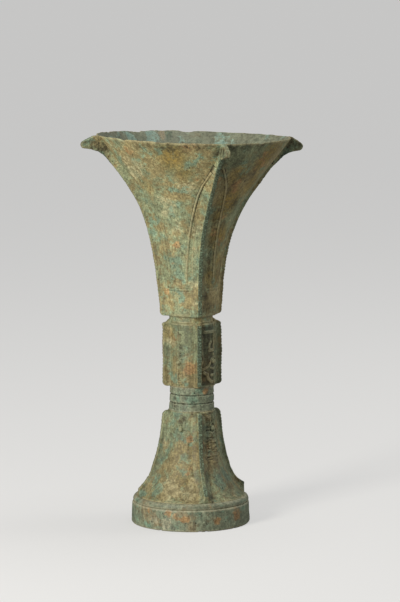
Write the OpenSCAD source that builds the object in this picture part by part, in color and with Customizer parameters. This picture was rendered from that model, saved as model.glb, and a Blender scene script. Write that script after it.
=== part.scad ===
/* [Heights] */
// Height of the standing ring
ring_h = 16.5; // [12:0.5:22]
// Height of the bead on the standing ring
bead_h = 4.5; // [3.5:0.25:7]
// Height of the flared foot
foot_h = 66.5; // [60:0.5:74]
// Height of the string collar
collar_h = 19; // [15:0.5:24]
// Height of the knop
knop_h = 49.5; // [44:0.5:56]
// Height of the waist recess
waist_h = 5; // [4:0.25:8]
// Height of the trumpet neck
neck_h = 139; // [130:1:150]

/* [Radii] */
// Radius of the standing ring at its lower edge
ring_r = 45.9; // [44.5:0.1:49]
// How much the standing ring draws in towards its top
ring_taper = 0.8; // [0:0.1:1.5]
// Radius of the bead
bead_r = 45.6; // [45.2:0.1:48]
// Radius of the foot where it meets the bead
foot_low_r = 42; // [40:0.1:43]
// Radius of the foot at its top
foot_top_r = 18; // [17.6:0.1:20]
// Radius of the string collar at its lower edge
collar_low_r = 17.5; // [17:0.1:17.6]
// Radius of the string collar at its upper edge
collar_top_r = 16.8; // [16.2:0.1:17]
// Radius of the knop drum
knop_r = 18.1; // [17.6:0.1:20]
// Radius of the waist recess
waist_r = 16.9; // [16:0.1:17.2]
// Radius of the neck at its lower edge
neck_low_r = 20; // [19:0.1:22]
// Radius of the mouth at the lip
mouth_r = 76.3; // [72:0.1:82]

/* [Neck curve] */
// How far the slender part of the neck leans out
neck_lean = 5; // [3:0.1:8]
// Height over which the neck stays slender
neck_rise = 81; // [70:0.5:85]
// How far out the flare begins, from the lower edge of the neck
flare_out = 20; // [14:0.5:26]
// Height at which the flare begins, from the lower edge of the neck
flare_rise = 92; // [86:0.5:100]

/* [Foot curve] */
// How far the slender part of the foot leans out
foot_lean = 2.4; // [1:0.1:4]
// Length of the slender part, down from the top of the foot
foot_drop = 12.5; // [8:0.5:18]
// How far out the foot begins to spread, from its top
spread_out = 1.4; // [0:0.1:4]
// Height at which the foot spreads, above the bead
spread_rise = 19.5; // [15:0.5:26]

/* [Walls] */
// Radius of the well inside the waist and the knop
well_r = 14; // [12:0.1:15]
// Wall of the mouth at the lip, measured level
lip_t = 3; // [2.4:0.1:4]
// Wall of the foot, measured level
foot_t = 4.3; // [3:0.1:5]
// Wall of the string collar at its top
collar_t = 3.3; // [2.6:0.1:4]
// Wall of the standing ring
ring_t = 3.4; // [2.6:0.1:4]
// Thickness of the cup floor
floor_t = 3; // [2:0.1:5]

/* [Flanges] */
// Thickness of the flanges
flange_t = 3.6; // [2.6:0.1:4.4]
// How far the neck flanges stand out
neck_flange_w = 4.6; // [3.5:0.1:6]
// How far the knop flanges stand out
knop_flange_w = 5.4; // [4:0.1:6.5]
// How far the foot flanges stand out
foot_flange_w = 5; // [3.5:0.1:6]
// Distance from tooth to tooth along the flanges
tooth_pitch = 2.4; // [1.8:0.1:4]
// Depth of the notches between the teeth
tooth_d = 0.7; // [0.3:0.05:1]
// Height of the toothed part of the neck flanges
neck_teeth_h = 64; // [40:1:72]
// Height of the toothed part of the foot flanges
foot_teeth_h = 30; // [15:1:36]
// Radius of the rounded flange corners
flange_corner = 3; // [1.5:0.1:3.4]

/* [Beaks] */
// How far a beak reaches past the lip
beak_reach = 14.6; // [10:0.1:18]
// How far the middle of the nose lies below the lip
beak_drop = 7.6; // [6:0.1:9]
// Radius of the nose
beak_nose_r = 3; // [2:0.1:4]

/* [String grooves] */
// Number of string grooves round the collar
groove_count = 2; // [1:1:3]
// Width of a string groove
groove_w = 1; // [0.6:0.1:1.6]
// Depth of a string groove
groove_d = 0.55; // [0.3:0.05:0.9]

/* [Relief] */
// Height of the mask relief above the wall
relief_t = 0.7; // [0.4:0.05:1.2]
// Width of the relief strips
strip_w = 1.5; // [1.1:0.05:1.8]
// Radius of an eye boss
eye_r = 2; // [1.5:0.1:2.6]
// How far an eye boss stands out from the wall
eye_out = 1.5; // [1:0.1:1.8]
// Angle from the flange to an eye of the knop mask
knop_eye_angle = 50; // [44:1:56]
// Height of the knop eyes above the lower edge of the knop
knop_eye_rise = 19.5; // [17:0.5:22]
// Angle from the flange to an eye of the foot mask
foot_eye_angle = 41; // [36:1:50]
// Distance of the foot eyes below the top of the foot
foot_eye_drop = 12; // [9:0.5:15]
// Height of the leaf edges above the neck wall
leaf_t = 0.4; // [0.25:0.05:0.7]
// Width of a leaf edge
leaf_edge_w = 0.9; // [0.6:0.1:1.4]
// Half width of a leaf blade at its lower end
leaf_low_w = 9.5; // [7:0.1:11]
// Half width of a leaf blade at its widest
leaf_high_w = 13.5; // [11:0.1:15]
// Height of a leaf's foot above the lower edge of the neck
leaf_rise = 26; // [20:0.5:32]
// Height over which a leaf stays narrow
leaf_slender = 22; // [16:0.5:28]
// Height at which a leaf is widest, from the lower edge of the neck
leaf_swell = 92; // [84:0.5:100]
// Distance of a leaf's point below the lip
leaf_drop = 12; // [10:0.5:16]

/* [Hidden] */
$fn = 96;

// Levels of the registers, from the standing face up
bead_z = ring_h;
foot_z = bead_z + bead_h;
collar_z = foot_z + foot_h;
knop_z = collar_z + collar_h;
waist_z = knop_z + knop_h;
neck_z = waist_z + waist_h;
lip_z = neck_z + neck_h;

// Bearings of the four flanges, from the front one round to the right
front = 0;
right = 90;
back = 180;
left = 270;

// Colours of the patina
tan_green = [0.55, 0.54, 0.40];
grey_green = [0.45, 0.50, 0.41];
malachite = [0.42, 0.58, 0.48];

// Steps along each curve, the ends of the nose's arc, and how far parts reach into what trims them
curve_steps = 24;
plain_steps = 10;
bend_steps = 7;
nose_start = -90;
nose_end = 50;
root = 2;
past = 1;

// Clear space round an eye boss, and between the relief and the edges of its register
clear = strip_w / 2;

// A curve with two ends and two guides, its direction, and its level outward normal
function curve(p, s) = pow(1 - s, 3) * p[0] + 3 * pow(1 - s, 2) * s * p[1]
    + 3 * (1 - s) * s * s * p[2] + pow(s, 3) * p[3];
function slope(p, s) = 3 * pow(1 - s, 2) * (p[1] - p[0]) + 6 * (1 - s) * s * (p[2] - p[1])
    + 3 * s * s * (p[3] - p[2]);
function outward(p, s) = let (d = slope(p, s)) [d[1], -d[0]] / norm(d);
function stand_off(p, s, w) = curve(p, s) + w * outward(p, s);
// Where along a rising curve a level lies, found by halving
function at_level(p, z, lo = 0, hi = 1, n = 16) = let (m = (lo + hi) / 2)
    n == 0 ? m : curve(p, m)[1] < z ? at_level(p, z, m, hi, n - 1) : at_level(p, z, lo, m, n - 1);
function arc(c, r, a, b, n) = [for (i = [0:n]) let (t = a + (b - a) * i / n)
    c + r * [cos(t), sin(t)]];
function steps(n) = [for (i = [0:n]) i / n];

// Both walls rise: the neck from its lower edge to the lip, the foot from the bead to the collar
neck_curve = [[neck_low_r, neck_z], [neck_low_r + neck_lean, neck_z + neck_rise],
    [neck_low_r + flare_out, neck_z + flare_rise], [mouth_r, lip_z]];
foot_curve = [[foot_low_r, foot_z], [foot_top_r + spread_out, foot_z + spread_rise],
    [foot_top_r + foot_lean, collar_z - foot_drop], [foot_top_r, collar_z]];
neck_wall = [for (s = steps(curve_steps)) curve(neck_curve, s)];
foot_wall = [for (s = steps(curve_steps)) curve(foot_curve, s)];

// The neck wall is thick at its lower edge, where the bore narrows to the well
neck_low_t = neck_low_r - well_r;
function neck_t(s) = lip_t + (neck_low_t - lip_t) * pow(1 - s, 3);

shoulder = knop_r - waist_r;
knop_outline = [[knop_r, knop_z], [knop_r, waist_z - shoulder], [waist_r, waist_z]];
collar_outline = [[collar_low_r, collar_z], [collar_top_r, knop_z]];
ring_top_r = ring_r - ring_taper;

module revolve(outline) {
    rotate_extrude() polygon(outline);
}

// The space inside a wall's outer face, which trims whatever seats on that wall
module inside(outline) {
    n = len(outline) - 1;
    revolve(concat([[0, outline[0][1] - past], [outline[0][0], outline[0][1] - past]], outline,
        [[outline[n][0], outline[n][1] + past], [0, outline[n][1] + past]]));
}

// A flat plate that stands on one bearing, drawn with its distance from the axis and its level
module plate(bearing, outline) {
    rotate([0, 0, bearing - 90]) rotate([90, 0, 0])
        translate([0, 0, -flange_t / 2]) linear_extrude(flange_t) polygon(outline);
}

function backwards(list) = [for (i = [len(list) - 1:-1:0]) list[i]];

module neck_shell() {
    inner = [for (s = steps(curve_steps)) curve(neck_curve, s) - [neck_t(s), 0]];
    color(tan_green) revolve(concat(neck_wall, backwards(inner)));
}

module waist_ring() {
    color(tan_green) translate([0, 0, waist_z]) difference() {
        cylinder(h = waist_h, r = waist_r);
        translate([0, 0, -past]) cylinder(h = waist_h + 2 * past, r = well_r);
    }
}

module knop_shell() {
    color(tan_green) revolve(concat(knop_outline, [[well_r, waist_z], [well_r, knop_z]]));
}

module cup_floor() {
    color(grey_green) translate([0, 0, knop_z]) cylinder(h = floor_t, r = well_r);
}

module string_collar() {
    inner_r = collar_top_r - collar_t;
    color(grey_green) difference() {
        revolve(concat(collar_outline, [[inner_r, knop_z], [inner_r, collar_z]]));
        for (i = [1:groove_count]) {
            z = collar_z + collar_h * i / (groove_count + 1);
            r = collar_low_r + (collar_top_r - collar_low_r) * i / (groove_count + 1);
            revolve([[r - groove_d, z], [r + groove_w / 2, z - groove_w / 2 - groove_d],
                [r + groove_w / 2, z + groove_w / 2 + groove_d]]);
        }
    }
}

module foot_shell() {
    color(tan_green) revolve(concat(foot_wall, backwards([for (p = foot_wall) p - [foot_t, 0]])));
}

module foot_bead() {
    edge = bead_h / 4;
    inner_r = foot_low_r - foot_t;
    color(grey_green) revolve([[inner_r, bead_z], [ring_top_r, bead_z], [bead_r, bead_z + edge],
        [bead_r, foot_z - 2 * edge], [bead_r - edge / 2, foot_z - edge / 2],
        [bead_r - 3 * edge / 2, foot_z], [inner_r, foot_z]]);
}

module foot_ring() {
    color(grey_green) revolve([[ring_r - ring_t, 0], [ring_r, 0], [ring_top_r, ring_h],
        [ring_r - ring_t, ring_h]]);
}

// Teeth between two levels of a curve: crests at full width, notches half a pitch on
function teeth(p, w, low, high) = let (n = floor((high - low) / tooth_pitch), first = high - n * tooth_pitch)
    [for (i = [0:2 * n]) let (s = at_level(p, first + i * tooth_pitch / 2))
        stand_off(p, s, i % 2 == 0 ? w : w - tooth_d)];

// The nose is an arc. Its underside bends down into the flange, and its top rises to the lip
nose = [mouth_r + beak_reach - beak_nose_r, lip_z - beak_drop];
beak_low_z = nose[1] - beak_nose_r;
bend_start = at_level(neck_curve, beak_low_z - neck_flange_w);
bend_corner = stand_off(neck_curve, at_level(neck_curve, beak_low_z + neck_flange_w / 2), neck_flange_w);
bend = [stand_off(neck_curve, bend_start, neck_flange_w), bend_corner, bend_corner,
    (bend_corner + nose - [0, beak_nose_r]) / 2];
beak = concat([for (i = [1:bend_steps]) curve(bend, i / bend_steps)],
    arc(nose, beak_nose_r, nose_start, nose_end, bend_steps),
    [[mouth_r + beak_reach / 2, lip_z - beak_drop / 4], [mouth_r + beak_reach / 4, lip_z - beak_drop / 16],
    [mouth_r, lip_z]]);

module neck_flange(bearing) {
    foot_end = at_level(neck_curve, neck_z + flange_corner / 2);
    tooth_end = at_level(neck_curve, neck_z + neck_teeth_h);
    color(malachite) difference() {
        plate(bearing, concat(
            [[neck_low_r - root, neck_z], [neck_low_r + neck_flange_w - flange_corner / 2, neck_z]],
            [stand_off(neck_curve, foot_end, neck_flange_w)],
            teeth(neck_curve, neck_flange_w, neck_z + flange_corner, neck_z + neck_teeth_h),
            [for (i = [1:plain_steps]) let (s = tooth_end + (bend_start - tooth_end) * i / plain_steps)
                stand_off(neck_curve, s, neck_flange_w)],
            beak,
            backwards([for (s = steps(curve_steps)) curve(neck_curve, s) - [root, 0]])));
        inside(neck_wall);
    }
}

// The knop flange follows the drum, rounded below, and slopes up on to the waist ring above
module knop_flange(bearing) {
    tip_r = knop_r + knop_flange_w;
    low = knop_z + flange_corner;
    high = waist_z - shoulder;
    n = floor((high - low) / tooth_pitch);
    color(malachite) difference() {
        plate(bearing, concat([[waist_r - root, knop_z]],
            arc([tip_r - flange_corner, low], flange_corner, -90, -15, 4),
            [for (i = [0:2 * n]) [tip_r - (i % 2) * tooth_d, high - (n - i / 2) * tooth_pitch]],
            [[waist_r, waist_z + waist_h / 2], [waist_r - root, waist_z + waist_h / 2]]));
        inside(concat(knop_outline, [[waist_r, waist_z + waist_h]]));
    }
}

// The foot flange stands on the bead, follows the flare and is rounded where it meets the collar
module foot_flange(bearing) {
    tip_r = foot_top_r + foot_flange_w;
    tooth_start = collar_z - foot_teeth_h;
    start = at_level(foot_curve, foot_z + flange_corner);
    end = at_level(foot_curve, tooth_start);
    toe = stand_off(foot_curve, start, foot_flange_w);
    color(malachite) difference() {
        plate(bearing, concat([[foot_low_r - foot_t / 2, foot_z], [toe[0], foot_z]],
            [for (i = [0:plain_steps - 1])
                stand_off(foot_curve, start + (end - start) * i / plain_steps, foot_flange_w)],
            teeth(foot_curve, foot_flange_w, tooth_start, collar_z - flange_corner),
            arc([tip_r - flange_corner, collar_z - flange_corner], flange_corner, 30, 90, 3),
            [[collar_top_r - root, collar_z]],
            backwards([for (p = foot_wall) p - [root, 0]])));
        inside(foot_wall);
    }
}

// A shape drawn flat on one bearing and cut to a skin of even height on a wall
module on_wall(bearing, wall, t) {
    intersection() {
        rotate([0, 0, bearing - 90]) rotate([90, 0, 90]) linear_extrude(mouth_r) children();
        revolve(concat(wall, backwards([for (p = wall) p + [t, 0]])));
    }
}

// A mask has a half on either side of a front or back flange. Its place and width follow the room
// up to the next flange, as a share of a quarter turn
module mask_halves(angle) {
    for (half = [[front, left - 360], [front, right], [back, right], [back, left]]) {
        $side = sign(half[1] - half[0]);
        $share = abs(half[1] - half[0]) / 90;
        $bearing = half[0] + $side * $share * angle;
        children();
    }
}

module boss(bearing, r, z) {
    rotate([0, 0, bearing - 90]) translate([r + eye_out - eye_r, 0, z]) sphere(r = eye_r);
}

// Lines of even width with mitred bends. Their points are counted in cells of a grid
function unit(v) = v / norm(v);
function mitred(points, half) = let (last = len(points) - 1) [for (i = [0:last])
    let (before = unit(points[max(i, 1)] - points[max(i, 1) - 1]),
        after = unit(points[min(i, last - 1) + 1] - points[min(i, last - 1)]),
        along = unit(before + after))
    points[i] + [-along[1], along[0]] * half / (along * before)];
module strokes(cell, lines) {
    for (line = lines) let (points = [for (p = line) [p[0] * cell[0], p[1] * cell[1]]])
        polygon(concat(mitred(points, strip_w / 2), backwards(mitred(points, -strip_w / 2))));
}

// Half masks on their grids: across from the eye, and up or down from the clear space round it.
// These are the cells across a radius, above and below an eye of the knop, and above one of the foot
cells_across = 12;
knop_cells_up = 15.5;
knop_cells_down = 9.3;
foot_cells_up = 5;
knop_horn = [[[0.3, 3], [0.3, 15], [-6.4, 15]], [[-1, 5.5], [-3.2, 5.5], [-3.2, 8.5]],
    [[-6.8, 10.5], [-6.8, 12.8], [-1.8, 12.8], [-1.8, 10.8], [-4.6, 10.8]],
    [[-6.6, 0], [-3, 0.6], [-1.2, 1.2], [1.8, 1.2], [3.4, -1]], [[5.4, 0], [5.4, 5.5], [3.2, 7.6], [3.2, 15]]];
knop_jaw = [[[-7, -3], [-5, -3.6], [-4, -6.4], [-2, -8.8], [3, -8.8]],
    [[-2, -5.6], [-2, -3.4], [1.6, -3.4], [3.6, -1.6]], [[5.4, -2], [5.4, -8.8]]];
foot_horn = [[[-6, 4.4], [-1.8, 4.4], [-1.8, 1]], [[1.8, 4.4], [1.8, 1], [4, -1], [4, -5]]];
foot_jaw = [[[-6.2, -1.4], [-3.2, -1.4], [-2, -0.4]], [[-6.2, -3.6], [-3.4, -3.6], [-3.4, -8.4], [-6.2, -8.4]],
    [[0.8, -6.4], [0.8, -8.4], [-1.4, -8.4], [-1.4, -4.2], [2.8, -4.2], [2.8, -8.4]]];

module knop_mask_relief() {
    drum = [[knop_r, knop_z], [knop_r, waist_z - shoulder]];
    eye_z = knop_z + knop_eye_rise;
    gap = eye_r + clear;
    upper = [knop_r / cells_across, (waist_z - shoulder - clear - eye_z - gap) / knop_cells_up];
    lower = [knop_r / cells_across, (eye_z - gap - knop_z - clear) / knop_cells_down];
    color(tan_green) mask_halves(knop_eye_angle)
    on_wall($bearing, drum, relief_t) scale([$side * $share, 1]) {
        translate([0, eye_z + gap]) strokes(upper, knop_horn);
        translate([0, eye_z - gap]) strokes(lower, knop_jaw);
    }
}

module knop_eyes() {
    color(malachite) mask_halves(knop_eye_angle) difference() {
        boss($bearing, knop_r, knop_z + knop_eye_rise);
        inside(knop_outline);
    }
}

module foot_mask_relief() {
    eye_z = collar_z - foot_eye_drop;
    gap = eye_r + clear;
    upper = [foot_top_r / cells_across, (collar_z - clear - eye_z - gap) / foot_cells_up];
    lower = [1, 1] * foot_top_r / cells_across;
    color(tan_green) mask_halves(foot_eye_angle)
    on_wall($bearing, foot_wall, relief_t) scale([$side * $share, 1]) {
        translate([0, eye_z + gap]) strokes(upper, foot_horn);
        translate([0, eye_z - gap]) strokes(lower, foot_jaw);
    }
}

module foot_eyes() {
    eye_z = collar_z - foot_eye_drop;
    color(malachite) mask_halves(foot_eye_angle) difference() {
        boss($bearing, curve(foot_curve, at_level(foot_curve, eye_z))[0], eye_z);
        inside(foot_wall);
    }
}

// A leaf blade is centred on a flange: two edges rise from its foot, swell, and meet at the point.
// An inset moves an edge in level, and so further down where the blade runs in to its point
leaf_low_z = neck_z + leaf_rise;
leaf_point_z = lip_z - leaf_drop;
module leaf_blade(inset) {
    swell_z = neck_z + leaf_swell;
    turn = [leaf_high_w * 6 / 7, swell_z + leaf_drop];
    point_inset = inset * (leaf_point_z - turn[1]) / turn[0];
    polygon([[leaf_low_w - inset, leaf_low_z], [leaf_low_w * 9 / 8 - inset, leaf_low_z + leaf_slender],
        [leaf_high_w - inset, swell_z], turn - [inset, 0], [0, leaf_point_z - point_inset], [0, leaf_low_z]]);
}

module neck_leaf_edges() {
    color(grey_green) for (bearing = [front, right, back, left], side = [-1, 1])
        on_wall(bearing, neck_wall, leaf_t) scale([side, 1]) intersection() {
            difference() {
                leaf_blade(0);
                leaf_blade(leaf_edge_w);
            }
            translate([flange_t / 2 + leaf_edge_w / 2, leaf_low_z + leaf_edge_w]) square([mouth_r, neck_h]);
        }
}

neck_shell();
waist_ring();
knop_shell();
cup_floor();
string_collar();
foot_shell();
foot_bead();
foot_ring();
neck_flange(front);  // neck_flange_front
neck_flange(right);  // neck_flange_right
neck_flange(back);  // neck_flange_back
neck_flange(left);  // neck_flange_left
knop_flange(front);  // knop_flange_front
knop_flange(right);  // knop_flange_right
knop_flange(back);  // knop_flange_back
knop_flange(left);  // knop_flange_left
foot_flange(front);  // foot_flange_front
foot_flange(right);  // foot_flange_right
foot_flange(back);  // foot_flange_back
foot_flange(left);  // foot_flange_left
knop_mask_relief();
knop_eyes();
foot_mask_relief();
foot_eyes();
neck_leaf_edges();
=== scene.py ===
import math
import random
from functools import partial

import bmesh
import bpy
import numpy as np
from mathutils import Matrix, Vector, noise


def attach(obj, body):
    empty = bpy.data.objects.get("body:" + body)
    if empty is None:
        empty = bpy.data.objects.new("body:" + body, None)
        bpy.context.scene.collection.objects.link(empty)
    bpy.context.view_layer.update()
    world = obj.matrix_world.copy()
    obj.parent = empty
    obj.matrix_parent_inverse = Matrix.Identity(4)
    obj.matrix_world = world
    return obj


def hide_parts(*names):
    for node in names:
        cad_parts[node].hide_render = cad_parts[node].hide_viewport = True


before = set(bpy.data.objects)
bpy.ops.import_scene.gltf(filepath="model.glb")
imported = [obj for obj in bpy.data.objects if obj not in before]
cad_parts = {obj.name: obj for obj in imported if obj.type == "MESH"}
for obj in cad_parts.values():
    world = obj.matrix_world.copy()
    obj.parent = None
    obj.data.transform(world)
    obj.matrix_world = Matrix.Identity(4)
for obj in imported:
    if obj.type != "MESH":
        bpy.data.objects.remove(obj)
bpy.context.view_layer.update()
print("frame loaded")

# Pieces are shaped in millimetres and brought to metres when they are finished
mm = 0.001
scene = bpy.context.scene
scene.view_settings.view_transform = "Standard"

# Everything below shares these registers and wall curves, as the CAD has them
register = {
    "beadZ": 16.5, "footZ": 21.0, "collarZ": 87.5, "knopZ": 106.5,
    "waistZ": 156.0, "neckZ": 161.0, "lipZ": 300.0,
    "ringR": 45.9, "ringTopR": 45.1, "ringWall": 3.4, "beadR": 45.6,
    "collarLowR": 17.5, "collarTopR": 16.8, "collarWall": 3.3,
    "knopR": 18.1, "waistR": 16.9, "wellR": 14.0, "footWall": 4.3,
    "flangeT": 3.6,
    "neckGuides": ((20.0, 161.0), (25.0, 242.0), (40.0, 253.0), (76.3, 300.0)),
    "footGuides": ((42.0, 21.0), (19.4, 40.5), (20.4, 75.0), (18.0, 87.5)),
}


def bezier(guides, s):
    k = 1 - s
    w = (k ** 3, 3 * k * k * s, 3 * k * s * s, s ** 3)
    return tuple(sum(w[j] * guides[j][i] for j in range(4)) for i in (0, 1))


wallSteps = 240
nearby = 0.6  # mm up and down, over which the lean of a wall is taken
neckWall, footWall = (np.array([bezier(register[name], i / wallSteps) for i in range(wallSteps + 1)])
                      for name in ("neckGuides", "footGuides"))


def wallRadius(wall, z):
    return np.interp(z, wall[:, 1], wall[:, 0])


def wallLean(wall, z):
    return wallRadius(wall, z + nearby) - wallRadius(wall, z - nearby)


def wallOutward(wall, z):  # level outward normal of a wall, as (r, z)
    return Vector((2 * nearby, -wallLean(wall, z))).normalized()


def riseOver(wall, r, z):  # how far a place stands off the wall, along its normal
    return (r - wallRadius(wall, z)) * 2 * nearby / np.hypot(wallLean(wall, z), 2 * nearby)


def smoothStep(low, high, x):
    t = np.clip((x - low) / (high - low), 0.0, 1.0)
    return t * t * (3 - 2 * t)


def resample(points, gap):  # evenly along a line; gap is a number, or a function of the level
    points = np.array([tuple(p) for p in points], dtype=float)
    runs = np.hypot(*(points[1:] - points[:-1]).T)
    levels = 0.5 * (points[1:, 1] + points[:-1, 1])
    weight = np.array([1 / (gap(z) if callable(gap) else gap) for z in levels])
    along = np.concatenate(([0.0], np.cumsum(runs * weight)))
    spots = np.linspace(0, along[-1], max(1, round(along[-1])) + 1)
    return [Vector([np.interp(t, along, points[:, i]) for i in (0, 1)]) for t in spots]


def placesOf(verts):
    return np.array([v.co[:] for v in verts])


def radiusOf(co):
    return np.hypot(co[:, 0], co[:, 1])


def bearingOf(co):  # degrees from the front flange, towards the right
    return np.degrees(np.arctan2(co[:, 0], -co[:, 1]))


def bearingAt(place):
    return math.degrees(math.atan2(place.x, -place.y))


def turnBetween(bearing, angle):  # degrees, -180 to 180
    return (bearing - angle + 180) % 360 - 180


# How the casting has moved since it left the mould: it leans, and its mouth has drawn in
found = {
    "leanLevels": (0, 45, 90, 108, 150, 158, 205, 222, 245, 262, 300),
    "leanShift": (0, 0.2, 0.8, 1.2, 1.2, 0.3, -0.3, 0.2, 1.6, 2.4, 2.6),  # mm, to the photograph's right
    "leanBearing": (0.959, -0.284),
    "rimTilt": 1.4, "rimTiltFrom": 222.0,  # degrees, lower on the right
    "rimDrop": 1.85, "rimDip": 1.0, "dipFrom": 274.0, "dipTo": 300.0,
    "narrow": 0.99, "twistLevels": (0, 104, 109, 152, 158, 300), "twist": (0, 0, -2.2, -2.2, 0, 0),
    "squareLow": 0.012, "squareHigh": 0.05,
    "swell": 0.34, "swellSize": 15.0,
}


def foundShape(co):  # co is an array of places in mm
    x, y, z = co.T.copy()
    aboveKnop = z > register["waistZ"] + 3
    neck = smoothStep(register["neckZ"], register["lipZ"], z) * aboveKnop
    square = (found["squareLow"] + (found["squareHigh"] - found["squareLow"]) * neck) * aboveKnop
    draw = found["narrow"] - square * (1 - np.cos(4 * np.arctan2(y, x))) / 2
    x, y = x * draw, y * draw
    turn = np.radians(np.interp(z, found["twistLevels"], found["twist"]))
    x, y = x * np.cos(turn) - y * np.sin(turn), x * np.sin(turn) + y * np.cos(turn)
    r = np.hypot(x, y)
    size = found["swellSize"]
    swell = np.array([noise.noise((a / size, b / size, c / size)) for a, b, c in zip(x, y, z)])
    grow = 1 + found["swell"] * swell / np.maximum(r, 1) * (r > 8)
    x, y = x * grow, y * grow
    shift = np.interp(z, found["leanLevels"], found["leanShift"])
    side = x * found["leanBearing"][0] + y * found["leanBearing"][1]
    tilt = smoothStep(found["rimTiltFrom"], register["lipZ"] - 10, z)
    dip = found["rimDip"] * smoothStep(found["dipFrom"], found["dipTo"], z)
    dip = dip * (1 - np.clip(np.abs(side) / np.maximum(r, 1), 0, 1) ** 3)
    z = z - tilt * (math.tan(math.radians(found["rimTilt"])) * side + found["rimDrop"]) - dip
    return np.stack((x + shift * found["leanBearing"][0], y + shift * found["leanBearing"][1], z), 1)


# Surface of old bronze: soft lumps, fine grain, pits, and crust that stands a little proud
def corrodedHeight(co, s):  # co is an array of places in mm
    p = co + np.array(s["seed"], dtype=float)
    zone = np.array([noise.noise(q) for q in p / 21.0])
    lumps = np.array([noise.fractal(q, 1.0, 2.0, 3) for q in p / s["lumpSize"]]) * s["lump"]
    grain = np.array([noise.fractal(q, 0.9, 2.1, 2) for q in p / s["grainSize"]]) * s["grain"]
    crust = np.array([noise.fractal(q, 1.0, 2.0, 2) for q in p / 5.2 + np.array((9, 3, 1))])
    crust = smoothStep(0.16, 0.3, crust + 0.4 * zone)
    near = np.array([noise.voronoi(q)[0][0] for q in p / s["pitSize"]])
    spread = np.array([noise.noise(q) for q in p / 9.0 + 4.0])
    pit = smoothStep(0.34, 0.1, near) * smoothStep(0.0, 0.3, spread)
    return lumps + grain + crust * s["crust"] - pit * s["pit"]


oldSkin = {"seed": (0, 0, 0), "lumpSize": 7.5, "lump": 0.16, "grainSize": 1.5, "grain": 0.07,
           "crust": 0.14, "pitSize": 3.1, "pit": 0.3}


def corrode(bm, skin, keep=None):  # keep gives the share of the corrosion at each place
    bm.normal_update()
    co = placesOf(bm.verts)
    normals = np.array([v.normal[:] for v in bm.verts])
    height = corrodedHeight(co, skin)
    if keep is not None:
        height = height * keep(co)
    for v, c in zip(bm.verts, co + normals * height[:, None]):
        v.co = c


def readAll(items, name, width, kind=float):
    values = np.zeros(len(items) * width, dtype=kind)
    items.foreach_get(name, values)
    return values.reshape(-1, width)


def curvature(mesh, passes):  # in mm: 0 is flat, above it stands out, below it is hollow
    count = len(mesh.vertices)
    co = readAll(mesh.vertices, "co", 3) * 1000
    normals = readAll(mesh.vertices, "normal", 3)
    a, b = readAll(mesh.edges, "vertices", 2, np.int64).T
    links = np.bincount(np.concatenate((a, b)), minlength=count).clip(1)[:, None]

    def around(values):
        total = np.zeros_like(values)
        np.add.at(total, a, values[b])
        np.add.at(total, b, values[a])
        return total / links

    wide = co
    for _ in range(passes):
        wide = 0.5 * wide + 0.5 * around(wide)
    bend = ((co - wide) * normals).sum(1, keepdims=True)
    bend = 0.5 * bend + 0.5 * around(bend)
    return bend[:, 0]


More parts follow.
